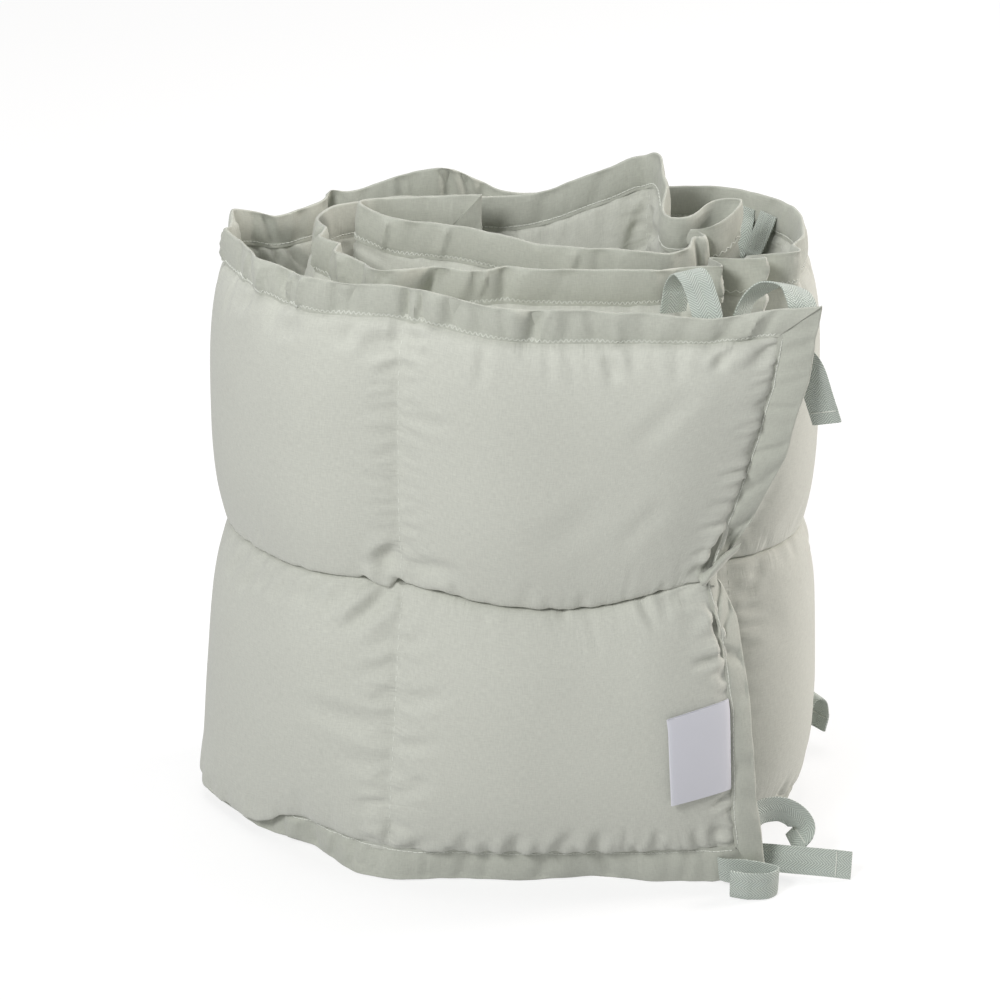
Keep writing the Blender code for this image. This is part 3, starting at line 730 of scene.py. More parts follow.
def fill(piece, flat, sewn):
    """The filling: the cloth, cut flat and sewn down along its seams, is blown up from inside."""
    start = points_of(piece.data)
    piece.shape_key_add(name="sewn")
    cut = piece.shape_key_add(name="cut")
    cut.data.foreach_set("co", flat.ravel())
    held = piece.vertex_groups.new(name="held")
    held.add([int(i) for i in np.flatnonzero(sewn)], 1.0, "REPLACE")
    modifier = piece.modifiers.new("filling", "CLOTH")
    cloth = modifier.settings
    cloth.quality = 4
    cloth.mass = 0.15
    cloth.tension_stiffness = cloth.compression_stiffness = 15
    cloth.shear_stiffness = 3
    cloth.bending_stiffness = 0.15
    cloth.air_damping = 2
    cloth.vertex_group_mass = held.name
    cloth.rest_shape_key = cut
    cloth.use_pressure = True
    cloth.uniform_pressure_force = PRESSURE
    cloth.effector_weights.gravity = 0
    modifier.point_cache.frame_start, modifier.point_cache.frame_end = 1, FRAMES
    for number in range(1, FRAMES + 1):
        bpy.context.scene.frame_set(number)
    filled = points_of(piece.evaluated_get(bpy.context.evaluated_depsgraph_get()).data)
    piece.modifiers.remove(modifier)
    piece.shape_key_clear()
    piece.vertex_groups.remove(held)
    bpy.context.scene.frame_set(1)
    along, _, side = cloth_map(piece)
    moved = filled - start
    size = np.linalg.norm(moved, axis=1) + 1e-9
    give = np.where((along < INNER_FROM) & (side > 0), GIVE, INNER_GIVE)
    moved *= (give * np.tanh(size / give) / size)[:, None]
    piece.data.vertices.foreach_set("co", (start + moved).ravel())
    piece.data.update()


def make_quilt():
    places, ups = strip_places(), quilt_heights()
    last_column, last_row = len(places) - 1, len(ups) - 1

    def place(column, row, side):
        along, up = places[column], ups[row]
        half = roll.crown(along, up, side)
        tucked = (column == 0) | (column == last_column) | (row == 0) | (row == last_row)
        half = np.where(tucked, RIM_HALF, half)
        over, beyond = roll.overhang(along, up, side), roll.end_overhang(along, up, side)
        return roll.point(along - beyond, up + over, side * half)

    def flat(column, row):
        return places[column], ups[row] * STRIP_HEIGHT

    piece = shaped("quilt", last_column, last_row, place, flat, COTTON)
    along, height, _ = cloth_map(piece)
    seam_rows = (ups[1], 0.5, ups[-2])
    sewn = (along < BINDING + AT_SEAM) | (along > roll.seams[-1] - AT_SEAM)
    for up in (ups[0], *seam_rows, ups[-1]):
        sewn |= np.abs(height - up * STRIP_HEIGHT) < AT_SEAM
    for seam in roll.seams:
        sewn |= np.abs(along - seam) < AT_SEAM
    sink(piece, np.where(sewn, 0, fold_depths(piece, drag_folds())))
    fill(piece, cut_flat(piece, places, ups), sewn)
    finer = piece.modifiers.new("finer", "SUBSURF")
    finer.levels = finer.render_levels = 1
    with bpy.context.temp_override(object=piece, active_object=piece, selected_objects=[piece]):
        bpy.ops.object.modifier_apply(modifier=finer.name)
    sink(piece, fold_depths(piece, FOLDS + seam_puckers()))
    along, height, _ = cloth_map(piece)
    upright = np.min([np.abs(along - seam) for seam in roll.seams], axis=0)
    level = np.min([np.abs(height - up * STRIP_HEIGHT) for up in seam_rows], axis=0)
    crimp(piece, CRIMP_LEVEL * np.exp(-level / CRIMP_REACH), np.exp(-upright / CRIMP_REACH))
    spots = points_of(piece.data)
    spots[:, 2] = np.maximum(spots[:, 2], QUILT_CLEAR)
    piece.data.vertices.foreach_set("co", spots.ravel())
    return piece


# ==== The bindings: a strip of cloth folded over each edge, so its section is a U.

CLOTH_THICK = 0.6 * MM
FOLD_RADIUS = 1.0 * MM
SEWN_GAP = 1.9 * MM  # from the strip's middle to the binding's face, where it is sewn
# Where the points of a leg lie, in millimetres below the fold.
LEG_DEPTHS = (16.7, 16.0, 15.4, 14.8, 14.2, 13.2, 11.5, 9.5, 7.5, 5.5, 3.8, 2.4)
LEG_PUFF = 0.8 * MM
STITCH_DEPTH = 14.8 * MM
SEAM_GROOVE, GROOVE_REACH = 0.4 * MM, 0.7 * MM  # where the stitches pull the cloth in
FOLD_ROWS = 6
MITRE_GAP = 0.15 * MM
MITRE_CROWD = 0.01 * MM  # between the columns that a mitre takes together
BINDING_CLEAR = 0.2 * MM  # above the floor

# A dent in one side of a binding, or a swelling where its depth is below 0. run: along its edge.
# slant: how far it moves along from the sewn edge to the fold. side: 1 faces out of the roll.
Dent = namedtuple("Dent", "run width depth slant side", defaults=[0, 1])
DENTS = {
    "top": [
        (181, 2.0, 2.9), (174, 2.2, 2.3, 2), (160, 3.6, 2.2, -3), (147, 3.6, 1.3, -2),
        (124, 2.8, 2.9, -3), (98, 3.2, 2.0, 5), (76, 4.0, 1.3, 3), (40, 3.5, 1.8, -4),
        (22, 2.5, 1.6, -4), (716, 2.6, 2.7, -5), (736, 2.6, 3.1, -8), (836, 3.0, 2.0),
        (848, 3.0, 2.2, 2), (868, 3.0, 3.9, -9), (893, 5.0, 3.1, -6), (921, 2.4, 1.8, 3),
        (931, 2.2, 1.8, -3), (951, 2.2, 2.0, 3), (350, 3.0, 2.3, -4, -1), (366, 4.0, 1.6, 2, -1),
        (392, 3.5, 2.6, 4, -1), (428, 2.6, 1.8, -2, -1), (450, 3.0, 3.1, -2, -1),
        (461, 2.6, 2.3, -4, -1), (110, 4.0, 1.4, -4), (88, 3.0, -1.3, 3), (132, 4.0, -1.3),
        (167, 3.0, -1.3), (205, 5.0, 1.2, 4), (278, 5.0, 1.2, -4), (30, 5.0, -1.6, -3),
    ],
    "foot": [
        (208, 2.6, 2.1, 3), (222, 3.0, 2.6, -2), (231, 2.6, -2.1, 2), (244, 3.0, 2.6, 3),
        (256, 3.5, -1.8), (268, 3.0, 2.3, -3), (186, 2.4, 2.0, 3), (172, 3.0, 1.3, -2),
        (150, 2.4, 1.6, 2), (141, 1.6, 1.3), (118, 3.0, 1.6, 3), (88, 4.0, 1.0, -3),
    ],
    "outer_end": [
        (190, 4.0, 1.6, 8), (168, 3.0, 2.0, 6), (163, 5.0, 3.9, -6), (134, 3.0, 3.1, 14),
        (122, 3.0, 2.7, 12), (106, 3.5, 2.3, -8), (84, 4.0, 1.2, 4),
    ],
}
# The ones that are strewn between, as cloth has them that was eased on by hand: how far apart, how
# wide and how deep, and how much they slant.
StrayDents = namedtuple("StrayDents", "every width depth slant")
STRAY = StrayDents(every=(4, 15), width=(1.8, 4.5), depth=(-0.72, 1.2), slant=4)
MIDDLE_OF_LEG = 0.4  # of the way from the sewn edge to the fold: where a slanting dent is in place

# A pleat, where the cloth laps over itself: it rises along its reach and ends in a sharp step. The
# step is at its start where the reach is below 0.
Pleat = namedtuple("Pleat", "run reach height slant side", defaults=[1])
PLEATS = {
    "top": [
        (276, -9, 2.2, -5), (257, -9, 2.6, -4), (241, -8, 3.0, -5), (229, -7, 2.6, -4),
        (302, -9, 2.2, 5), (176, -5, 1.6, -2), (120, -7, 1.5, -4), (28, -9, 1.8, -5),
        (322, 9, 1.3, -5, -1), (722, 6, 1.7, -6), (742, 7, 2, -9), (846, -6, 1.8, -4),
        (892, -8, 2.4, -6), (915, -5, 2.0, 3), (928, -5, 2.2, -2), (944, -5, 2.0, 2),
        (962, -6, 2.0, -3), (1300, -8, 1.8, -5), (1362, -7, 1.8, -4), (1390, -7, 2.0, -3),
        (1218, 8, 1.8, 6, -1), (1196, 8, 1.8, -6, -1),
    ],
    "foot": [
        (214, 8, 1.2, 2), (236, 7, 1, -2),
    ],
}


def binding_section(face):
    """The section's points, from one sewn edge round the fold to the other: the depth below the
    fold and the distance out of the middle. face: 1 is the cloth's outside, -1 its inside."""
    inset = 0.0 if face > 0 else CLOTH_THICK
    radius = FOLD_RADIUS - inset
    leg = []
    for depth in LEG_DEPTHS:
        share = min((depth * MM - FOLD_RADIUS) / (BINDING - FOLD_RADIUS), 1.0)
        puff = LEG_PUFF * math.sin(math.pi * share) ** 0.8
        groove = SEAM_GROOVE * bell(depth * MM - STITCH_DEPTH, GROOVE_REACH)
        out = FOLD_RADIUS + (SEWN_GAP - FOLD_RADIUS) * share + puff - groove - inset
        leg.append((depth * MM, out))
    turn = []
    for angle in np.linspace(math.pi / 2, -math.pi / 2, FOLD_ROWS + 1):
        turn.append((FOLD_RADIUS - radius * math.cos(angle), radius * math.sin(angle)))
    section = leg + turn + [(depth, -out) for depth, out in reversed(leg)]
    return np.array(section)


BINDING_OUTSIDE, BINDING_INSIDE = binding_section(1), binding_section(-1)
SECTION_LENGTH = np.concatenate([[0], np.cumsum(np.hypot(*np.diff(BINDING_OUTSIDE, axis=0).T))])


def on_edge(edge, run, depth, out):
    """A point by an edge: run along it, depth below it, out of the strip's middle."""
    if edge == "top":
        return roll.point(run, 1 - depth / STRIP_HEIGHT, out)
    if edge == "foot":
        return roll.point(run, depth / STRIP_HEIGHT, out)
    if edge == "outer_end":
        return roll.point(depth, run / STRIP_HEIGHT, out)
    return roll.point(roll.length - depth, run / STRIP_HEIGHT, out)


def edge_length(edge):
    return roll.length if edge in ("top", "foot") else STRIP_HEIGHT


EDGE_SEED = {"top": 11, "foot": 23, "outer_end": 37, "inner_end": 41}
# Where a binding is crumpled most: the middle of that stretch and half its length.
CRUMPLED = {"top": [(240, 40), (725, 40), (880, 40), (1200, 50)], "foot": [(225, 50)]}
CRUMPLED_DENTS = 0.9  # how much deeper the stray dents are there
# How much the small creases show: along a binding, how much more where it is crumpled, across it.
BINDING_CRIMP = (0.28, 0.8, 0.1)


def crumpled(edge, run):
    """How far a binding is crumpled at a run in millimetres, from 0 to 1."""
    return sum(np.exp(-((run - middle) / half) ** 4) for middle, half in CRUMPLED.get(edge, ()))


def stray_dents(edge):
    """Soft dents strewn along both sides of a binding."""
    dice = random.Random(EDGE_SEED[edge])
    dents = []
    for side in (1, -1):
        run = 0.0
        while run < edge_length(edge) / MM:
            run += dice.uniform(*STRAY.every)
            depth = dice.uniform(*STRAY.depth) * (1 + CRUMPLED_DENTS * crumpled(edge, run))
            width = dice.uniform(*STRAY.width)
            dents.append(Dent(run, width, depth, dice.gauss(0, STRAY.slant), side))
    return dents


RIPPLE_STEPS = (42, 15, 7, 9)  # of the slow, quick and fine waves, and of the hem's
LEAN = (0.7, 0.6, 0.3)  # how far the slow, quick and fine ones lean the fold, in millimetres
FOLD_DROP, LEAST_DROP = (0.5, 0.3), -0.3  # how far the quick and fine ones lower it
HEM_WAVE = 0.35 * MM
PLEAT_STEP = 0.8  # how wide a pleat's sharp step is
PLEAT_AT_HEM = 0.35  # how much of a pleat is left at the sewn edge


def binding_waves(edge):
    """How a binding waves between its seam and its fold."""
    slow, quick, fine, hem = (
        ripple(EDGE_SEED[edge] + index, step * MM) for index, step in enumerate(RIPPLE_STEPS)
    )
    dents = [Dent(*row) for row in DENTS.get(edge, ())] + stray_dents(edge)
    pleats = [Pleat(*row) for row in PLEATS.get(edge, ())]

    def wave(run, depth, out):
        run, depth, out = np.broadcast_arrays(*(np.asarray(v, float) for v in (run, depth, out)))
        free = np.clip(1 - depth / BINDING, 0, 1)
        lean = sum(much * line(run) for much, line in zip(LEAN, (slow, quick, fine)))
        lean = lean * MM * free ** 1.3
        on_leg = np.clip(depth / (2 * FOLD_RADIUS), 0, 1)
        body = on_leg * np.clip(free * 6, 0, 1)
        pushed = np.zeros(run.shape)
        for dent in dents:
            off = (run / MM - dent.run - dent.slant * (free - MIDDLE_OF_LEG)) / dent.width
            pushed -= np.where(out * dent.side > 0, dent.depth * MM * bell(off) * body, 0)
        for pleat in pleats:
            off = (run / MM - pleat.run - pleat.slant * (free - MIDDLE_OF_LEG)) / pleat.reach
            rising = np.clip(1 + off, 0, 1) ** 1.5
            falling = np.clip(1 - off * abs(pleat.reach) / PLEAT_STEP, 0, 1)
            raised = pleat.height * MM * np.where(off < 0, rising, falling) * on_leg
            raised = raised * (PLEAT_AT_HEM + (1 - PLEAT_AT_HEM) * body)
            pushed += np.where(out * pleat.side > 0, raised, 0)
        drop = FOLD_DROP[0] * quick(run + 5 * MM) + FOLD_DROP[1] * fine(run + 3 * MM)
        drop = np.maximum(drop * MM * free ** 2, LEAST_DROP * MM)
        hem_wave = HEM_WAVE * hem(run) * (1 - free) * np.clip(depth / BINDING, 0, 1)
        return depth + drop + hem_wave, out + lean + np.sign(out) * pushed

    return wave


BINDING_STEP = {"top": 1.3 * MM, "foot": 1.8 * MM, "outer_end": 1.3 * MM, "inner_end": 2.0 * MM}


def make_binding(edge):
    wave = binding_waves(edge)
    length = edge_length(edge)
    columns = math.ceil(length / BINDING_STEP[edge])
    rows = len(BINDING_OUTSIDE) - 1

    def place(column, row, side):
        section = np.where((side > 0)[:, None], BINDING_OUTSIDE[row], BINDING_INSIDE[row])
        depth, out = section.T
        start = np.minimum(depth, BINDING) + MITRE_GAP
        first = start + column * MITRE_CROWD
        last = length - start - (columns - column) * MITRE_CROWD
        run = np.clip(column / columns * length, first, last)
        depth, out = wave(run, depth, out)
        if edge == "outer_end":
            run, depth, out = pinched(run, depth, out)
        placed = on_edge(edge, run, depth, out)
        placed[:, 2] = np.maximum(placed[:, 2], BINDING_CLEAR)
        return placed

    def flat(column, row):
        return column / columns * length, SECTION_LENGTH[row]

    piece = shaped("binding_" + edge + "_cloth", columns, rows, place, flat, BINDING_CLOTH)
    smooth, more, across = BINDING_CRIMP
    crimp(piece, smooth + more * crumpled(edge, cloth_map(piece)[0] / MM), across)
    return piece


PINCH_RUN = 146 * MM  # up the outer end, where the middle seam gathers its binding
PINCH_REACH = 15 * MM
# The parts that bulge out and roll down over it: how far up each is from there, and its reach.
PINCH_ABOVE, PINCH_BELOW = (4 * MM, 5 * MM), (-9 * MM, 6 * MM)


def pinched(run, depth, out):
    """The outer end's binding where the middle seam gathers it: it narrows, and its upper part
    bulges out and rolls down over the lower part."""
    free = np.clip(1 - depth / BINDING, 0, 1)
    near = bell(run - PINCH_RUN, PINCH_REACH)
    above, below = (
        bell(run - PINCH_RUN - place, reach) for place, reach in (PINCH_ABOVE, PINCH_BELOW)
    )
    depth = depth + (near * free * 6 - above * 1.5 * (1 - free)) * MM
    out = out + above * (1.5 + 1.0 * free) * MM - below * free * 3.0 * MM
    run = run - above * (5.0 + 4.0 * free) * MM
    return run, depth, out


# The roll of cloth that the gathered binding makes where the middle seam pulls it together: from
# the seam, up and across the binding.
GATHER_START = (146.5 * MM, 19.0 * MM)  # run and depth on the outer end
GATHER_END = (158 * MM, -3 * MM)
GATHER_RADIUS = 4.0 * MM
GATHER_TURN = (-125, 125)  # degrees round the roll
GATHER_WIDTH, GATHER_LENGTH = 16 * MM, 24 * MM
GATHER_ACROSS = (0.82, 0.57)  # which way its width runs: up the edge and away from it
GATHER_OUT = 4.2 * MM  # how far its middle lies out of the strip's


def make_gathered_fold():
    columns, rows = 26, 18

    def place(column, row, side):
        share = column / columns
        run, depth = (a + (b - a) * share for a, b in zip(GATHER_START, GATHER_END))
        swell = np.sin(np.pi * np.clip(0.2 + 0.7 * share, 0, 1)) ** 0.6
        radius = GATHER_RADIUS * swell * (1 - 0.08 * np.sin(9 * share)) + side * CLOTH_THICK / 2
        turn = np.radians(GATHER_TURN[0] + (GATHER_TURN[1] - GATHER_TURN[0]) * row / rows)
        across = np.sin(turn) * radius
        out = GATHER_OUT + np.cos(turn) * radius - 0.5 * MM * share
        run, depth = run + across * GATHER_ACROSS[0], depth + across * GATHER_ACROSS[1]
        return on_edge("outer_end", run, depth, out)

    def flat(column, row):
        return column / columns * GATHER_LENGTH, row / rows * GATHER_WIDTH

    return shaped("binding_gathered_fold", columns, rows, place, flat, BINDING_CLOTH)


# ==== Stitches.

THREAD_THICK = 0.55 * MM
SEAM_THREAD_THICK = 0.3 * MM
STITCH_PITCH = 2.3 * MM
STITCH_SWING = 0.8 * MM  # of the zigzag, to either side
STITCH_DIP = 0.25 * MM
SEAM_STITCH_STEP = 0.8 * MM
SEAM_STITCH_LIFT = (0.02, -0.3)  # above the cloth on top of a stitch, and where the thread goes in
SIDE_NAME = {1: "out", -1: "in"}


def thread_along(name, points, thick=THREAD_THICK):
    """One thread through the points, sewn as a thin tube."""
    data = bpy.data.curves.new(name, "CURVE")
    data.dimensions = "3D"
    data.bevel_depth = thick / 2
    data.bevel_resolution = 0
    data.resolution_u = 1
    line = data.splines.new("POLY")
    line.points.add(len(points) - 1)
    line.points.foreach_set("co", np.column_stack([points, np.ones(len(points))]).ravel())
    data.materials.append(THREAD)
    return add_object(name, data)


def binding_stitches(edge, side, zigzag):
    """The stitches that hold one leg of a binding: they zigzag outside and run straight inside."""
    wave = binding_waves(edge)
    length = edge_length(edge)
    run = np.arange(BINDING + 2 * MM, length - BINDING - 2 * MM, STITCH_PITCH / 4)
    beat = np.arange(len(run)) % 4
    swing = np.where(beat == 0, -1, np.where(beat == 2, 1, 0)) * (STITCH_SWING if zigzag else 0.0)
    dips = beat % 2 == 0 if zigzag else beat == 3
    depth = STITCH_DEPTH + swing
    leg = BINDING_OUTSIDE[: len(LEG_DEPTHS)][::-1]
    out = np.interp(depth, leg[:, 0], leg[:, 1]) * side
    depth, out = wave(run, depth, out)
    out = out + side * np.where(dips, -STITCH_DIP, STITCH_DIP)
    if edge == "outer_end":
        run, depth, out = pinched(run, depth, out)
    return thread_along(f"stitches_{edge}_{SIDE_NAME[side]}", on_edge(edge, run, depth, out))


def cross_seam_stitches(index, along, side, surface):
    """Straight stitches down a seam across the strip, laid on the finished quilt."""
    low, high = BINDING + 3 * MM, STRIP_HEIGHT - BINDING - 3 * MM
    up = np.arange(low, high, SEAM_STITCH_STEP) / STRIP_HEIGHT
    points = roll.point(along, up, side * roll.crown(np.full(len(up), along), up, side))
    laid = []
    for number, point in enumerate(points):
        spot, normal, _, _ = surface.find_nearest(Vector(point))
        laid.append(spot + normal * SEAM_STITCH_LIFT[number % 6 > 2] * MM)
    return thread_along(f"seam_{index}_{SIDE_NAME[side]}", np.array(laid), SEAM_THREAD_THICK)


# ==== Twill tapes.

TAPE_WIDTH = 13 * MM
TAPE_THICK = 1.0 * MM
ROOT_GAP = 2.0 * MM
TAPE_LEAD = 4 * MM
TAPE_STEPS = 5
TAPE_PEEL = 0.4
TAPE_PULL = 8.0
SOLID_BINDING = 2.0 * MM  # the solids' binding, which the roots are reckoned from
END_FOLD = 9 * MM  # of tape, turned under and sewn at its free end
DOUBLED = 2.4  # how much thicker it is there
SELVEDGE = (0.49, 0.55)  # how far out it starts, as a share of the width, and its thickness there
END_STITCHES = (9, 0.44, 0.6)  # how many, how far to either side, how far above the middle
# Each tape: where it is sewn on, and the bends of its middle line: x, y and z on the plan.
Root = namedtuple("Root", "along up side heading")
TIES = {
    "tie_top_corner_inner": (
        Root(8, 0.93, -1, 90),
        [(130, 23, 284), (126, 32, 290), (117, 40, 289), (108, 43, 281), (103, 44, 268)],
    ),
    "tie_top_corner_outer": (
        Root(8, 0.9, -1, 235),
        [(134, 25, 255), (138, 29, 243), (143, 34, 227)],
    ),
    "tie_second_turn": (
        Root(48, 0.972, -1, 75),
        [(87, 31.5, 287), (84.5, 36, 292.5), (81, 43, 294), (77.5, 49, 287), (75.5, 50.5, 273)],
    ),
    "tie_back_right_long": (
        Root(598, 0.975, -1, 270),
        [(112.5, 190.5, 265), (110, 188, 257), (109.5, 187, 247)],
    ),
    "tie_back_right_short": (
        Root(616, 0.975, -1, 270),
        [(121, 179, 265), (118.5, 177.5, 258), (119.5, 176, 250)],
    ),
    "tie_foot_corner_arch": (
        Root(12, 0.09, -1, 180),
        [(122, 47, 33), (131, 53, 30), (138, 57, 23), (140, 59, 16), (135, 60, 9)],
    ),
    "tie_foot_corner_long": (
        Root(28, 0.026, -1, 180),
        [(111, 47, 9), (122, 49, 8), (135, 48, 7.2), (150, 45, 7.2), (161.5, 42, 7.2)],
    ),
    "tie_foot_front_loop": (
        Root(26, 0.026, 1, 180),
        [(112, 34, 8.5), (121, 32, 7.6), (127, 28, 7.2),
         (123, 22, 7.2), (114, 21, 7.2), (105, 24, 7.2)],
    ),
    "tie_foot_back": (
        Root(625, 0.03, 1, 90),
        [(143, 178, 17), (147, 180, 25), (151.5, 182.5, 30),
         (156.5, 185.5, 28), (158, 186.5, 20), (156, 185, 11)],
    ),
}


def tape_line(points, steps):
    """A smooth line through the points, which never loops between two."""
    ends = [2 * points[0] - points[1], *points, 2 * points[-1] - points[-2]]
    line = []
    for before, start, end, after in zip(ends, ends[1:], ends[2:], ends[3:]):
        a, b, c = ((q - p).length ** 0.5 for p, q in ((before, start), (start, end), (end, after)))
        leave = (start - before) / a - (end - before) / (a + b) + (end - start) / b
        arrive = (end - start) / b - (after - start) / (b + c) + (after - end) / c
        for step in range(steps):
            t = step / steps
            done = t * t * (3 - 2 * t)
            bulge = leave * (t * (1 - t) ** 2) - arrive * (t * t * (1 - t))
            line.append(start.lerp(end, done) + b * bulge)
    return [*line, points[-1]]


def tape_widths(line, across):
    """The direction across the tape at each of its points: it turns flat to every bend."""
    widths = []
    for before, here, after in zip([line[0], *line], line, [*line[1:], line[-1]]):
        leaving = (after - here).normalized()
        bend = (here - before).normalized().cross(leaving)
        pull = math.copysign(TAPE_PULL * bend.length, bend.dot(across))
        across = across + pull * bend
        across = (across - leaving * across.dot(leaving)).normalized()
        widths.append(across)
    return widths


def wall_frame(along, up, side):
    """A place on the strip's middle, and the directions along it, up it and out of one side."""
    step = TAPE_WIDTH / 2 / STRIP_HEIGHT
    low, middle, high = (Vector(roll.point(along, up + rise)) for rise in (-step, 0, step))
    upwards = (high - low).normalized()
    outwards = Vector(roll.point(along, up, side * MM)) - middle
    outwards = (outwards - upwards * outwards.dot(upwards)).normalized()
    return middle, outwards.cross(upwards) * side, upwards, outwards


def tape_route(root, bends):
    """The tape's middle line and its widths, in the solids' own steps."""
    middle, forwards, upwards, outwards = wall_frame(root.along * MM, root.up, root.side)
    heading = math.radians(root.heading)
    along = forwards * math.cos(heading) + upwards * math.sin(heading)
    leaving = (along + TAPE_PEEL * outwards).normalized()
    start = middle + outwards * (SOLID_BINDING / 2 + ROOT_GAP)
    through = [Vector(bend) * MM + Vector(SHIFT) for bend in bends]
    line = tape_line([start, start + leaving * TAPE_LEAD, *through], TAPE_STEPS)
    return line, tape_widths(line, upwards * math.cos(heading) - forwards * math.sin(heading))


def make_tie(name, root, bends):
    line, widths = tape_route(root, bends)
    route, across = np.array(line), np.array(widths)
    laid = np.concatenate([[0], np.cumsum(np.linalg.norm(np.diff(route, axis=0), axis=1))])
    length = laid[-1]
    columns, rows = math.ceil(length / (1.0 * MM)), 8
    places = np.linspace(0, length, columns + 1)
    middle, wide = (
        np.stack([np.interp(places, laid, line[:, axis]) for axis in range(3)], axis=1)
        for line in (route, across)
    )
    for _ in range(3):
        for line in (middle, wide):
            line[1:-1] = (line[:-2] + 2 * line[1:-1] + line[2:]) / 4
    run = np.gradient(middle, axis=0)
    run /= np.linalg.norm(run, axis=1)[:, None]
    wide -= run * np.sum(wide * run, axis=1)[:, None]
    wide /= np.linalg.norm(wide, axis=1)[:, None]
    face = np.cross(wide, run)

    def place(column, row, side):
        v = row / rows - 0.5
        selvedge = np.where(np.abs(v) > SELVEDGE[0], SELVEDGE[1], 1.0)
        folded = (length - places[column] < END_FOLD) & (side < 0)
        half = TAPE_THICK / 2 * selvedge * np.where(folded, DOUBLED, 1.0)
        shift = wide[column] * (v * TAPE_WIDTH)[:, None] + face[column] * (side * half)[:, None]
        return middle[column] + shift

    def flat(column, row):
        return places[column], row / rows * TAPE_WIDTH

    made = shaped(name + "_tape", columns, rows, place, flat, TWILL)
    count, reach, lift = END_STITCHES
    at = 1 - int(END_FOLD / MM)  # the column that is sewn down, from the free end
    sewn = [
        middle[at] + wide[at] * v * TAPE_WIDTH + face[at] * TAPE_THICK * lift
        for v in np.linspace(-reach, reach, count)
    ]
    return made, thread_along(name + "_stitches", np.array(sewn)), length


# ==== The label: a short length of woven tape, folded, with both ends in the outer end's seam.

LABEL_WIDTH = 31 * MM
LABEL_TOP, LABEL_FOOT = 87 * MM, 45 * MM
LABEL_LIFT = 1.6 * MM
LABEL_THICK = 0.45 * MM
LABEL_FOLD = 0.8 * MM
LABEL_ROOT = 0.5 * MM  # from the seam
LABEL_CURL = 1.2 * MM


def make_label():
    leg, turn, rows = 14, 6, 16

    def place(column, row, side):
        height = LABEL_FOOT + row / rows * (LABEL_TOP - LABEL_FOOT)
        arc = np.clip((column - leg) / turn, 0, 1) * math.pi
        back = np.clip((2 * leg + turn - column) / leg, 0, 1)
        on_leg = np.where(column <= leg, column / leg, back)
        reach = BINDING + LABEL_ROOT + on_leg * (LABEL_WIDTH - LABEL_FOLD)
        reach = reach + LABEL_FOLD * np.sin(arc)
        up = height / STRIP_HEIGHT
        thick = LABEL_THICK / 2 * side
        lift = LABEL_LIFT + (LABEL_FOLD + thick) * np.cos(arc)
        curl = LABEL_CURL * on_leg ** 2 * (1.2 - row / rows)
        out = roll.crown(reach, up, np.ones(len(reach))) + lift + curl
        return roll.point(reach + thick * np.sin(arc), up, out)

    def flat(column, row):
        return column / (2 * leg + turn) * 2 * LABEL_WIDTH, row / rows * (LABEL_TOP - LABEL_FOOT)

    return shaped("label_loop", 2 * leg + turn, rows, place, flat, LABEL_CLOTH)


# ==== Putting it together.


def belongs(piece, slot, *nodes):
    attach(piece, "root")
    if nodes:
        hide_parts(*nodes)


quilt = make_quilt()
belongs(quilt, "cotton", "quilted_strip")

for edge, node in [
    ("top", "binding_top"),
    ("foot", "binding_foot"),
    ("outer_end", "binding_outer_end"),
    ("inner_end", "binding_inner_end"),
]:
    piece = make_binding(edge)
    belongs(piece, "binding", node)
    for side in (1, -1):
        belongs(binding_stitches(edge, side, side > 0 and edge == "top"), "binding")

gathered = make_gathered_fold()
belongs(gathered, "binding")

surface = BVHTree.FromObject(quilt, bpy.context.evaluated_depsgraph_get())
for index, along in enumerate(roll.seams[1:-1]):
    for side in (1, -1):
        belongs(cross_seam_stitches(index, along, side, surface), "cotton")

for name, (root, bends) in TIES.items():
    tape, stitches, length = make_tie(name, root, bends)
    belongs(tape, "twill_tape", name)
    belongs(stitches, "twill_tape")

label = make_label()
belongs(label, "label", "label")

# ==== Camera, floor and light.

CAMERA_RISE = math.radians(21.5)
CAMERA_DISTANCE = 1.8
CAMERA_LENS = (141.26, 36)  # focal length and sensor, in millimetres
CAMERA_LOOKS_AT = Vector((-0.01067, -0.0203, 0.165))


def place_camera():
    data = bpy.data.cameras.new("camera")
    data.lens, data.sensor_width = CAMERA_LENS
    camera = add_object("camera", data)
    back = Vector((0, -math.cos(CAMERA_RISE), math.sin(CAMERA_RISE)))
    camera.location = CAMERA_LOOKS_AT + CAMERA_DISTANCE * back
    camera.rotation_euler = (math.pi / 2 - CAMERA_RISE, 0, 0)
    bpy.context.scene.camera = camera


FLOOR_TONE = (0.34, 0.34, 0.34, 1)
FLOOR_GLOW = (0.41, 0.28)  # for the eye, and for what stands on it
FLOOR_FADE = 0.035  # more for the eye with each metre from the middle, where less light falls


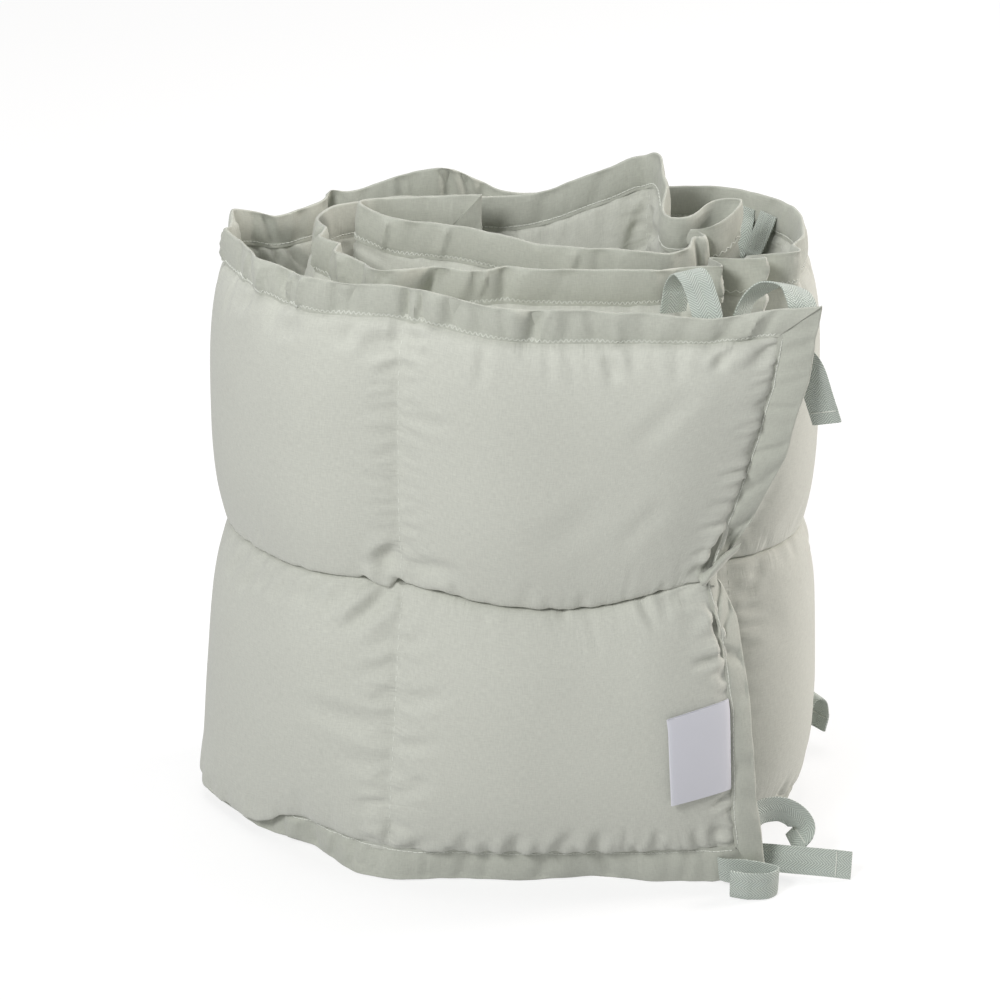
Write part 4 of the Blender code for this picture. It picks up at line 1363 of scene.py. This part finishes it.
def lay_floor():
    mesh = bmesh.new()
    bmesh.ops.create_grid(mesh, x_segments=1, y_segments=1, size=8)
    data = bpy.data.meshes.new("floor")
    mesh.to_mesh(data)
    mesh.free()
    constants = {"Base Color": FLOOR_TONE, "Roughness": 1.0, "Specular IOR Level": 0.0,
                 "Emission Color": (1, 1, 1, 1)}
    made, tree, shader = new_material("floor", constants)
    seen_by_eye = shader_node(tree, "LightPath", {}).outputs["Is Camera Ray"]
    place = shader_node(tree, "TexCoord", {}).outputs["Object"]
    far = shader_node(tree, "VectorMath", {0: place}, operation="LENGTH").outputs["Value"]
    more = reckon(tree, "MULTIPLY_ADD", far, FLOOR_FADE, FLOOR_GLOW[0])
    glow = reckon(tree, "MULTIPLY_ADD", seen_by_eye, more, FLOOR_GLOW[1])
    tree.links.new(glow, shader.inputs["Emission Strength"])
    data.materials.append(made)
    floor = add_object("floor", data)


# Each light: its place, the height it looks at, its size, power and colour.
LIGHTS = {
    "key": ((-1.15, -1.9, 1.75), 0.15, 0.7, 42, (1.0, 1.0, 1.0)),
    "front_left": ((-1.3, -2.0, 0.7), 0.15, 0.7, 5, (1.0, 1.0, 1.0)),
    "overhead": ((-0.1, 0.2, 2.2), 0.2, 1.3, 17, (1.0, 1.0, 1.0)),
    "back_right": ((1.9, 0.6, 0.9), 0.15, 0.8, 38, (1.0, 0.94, 0.90)),
}
WORLD_LIGHT = 0.22


def light_studio():
    world = bpy.data.worlds.new("studio")
    world.use_nodes = True
    sky = world.node_tree.nodes["Background"].inputs
    sky["Color"].default_value, sky["Strength"].default_value = (1, 1, 1, 1), WORLD_LIGHT
    bpy.context.scene.world = world
    bpy.context.scene.view_settings.view_transform = "Standard"
    for name, (place, looks_at, size, power, colour) in LIGHTS.items():
        data = bpy.data.lights.new(name, "AREA")
        data.shape, data.size, data.energy, data.color = "SQUARE", size, power, colour
        light = add_object(name, data)
        light.location = place
        turned = Vector((0, 0, looks_at)) - Vector(place)
        light.rotation_euler = turned.to_track_quat("-Z", "Y").to_euler()


place_camera()
lay_floor()
light_studio()
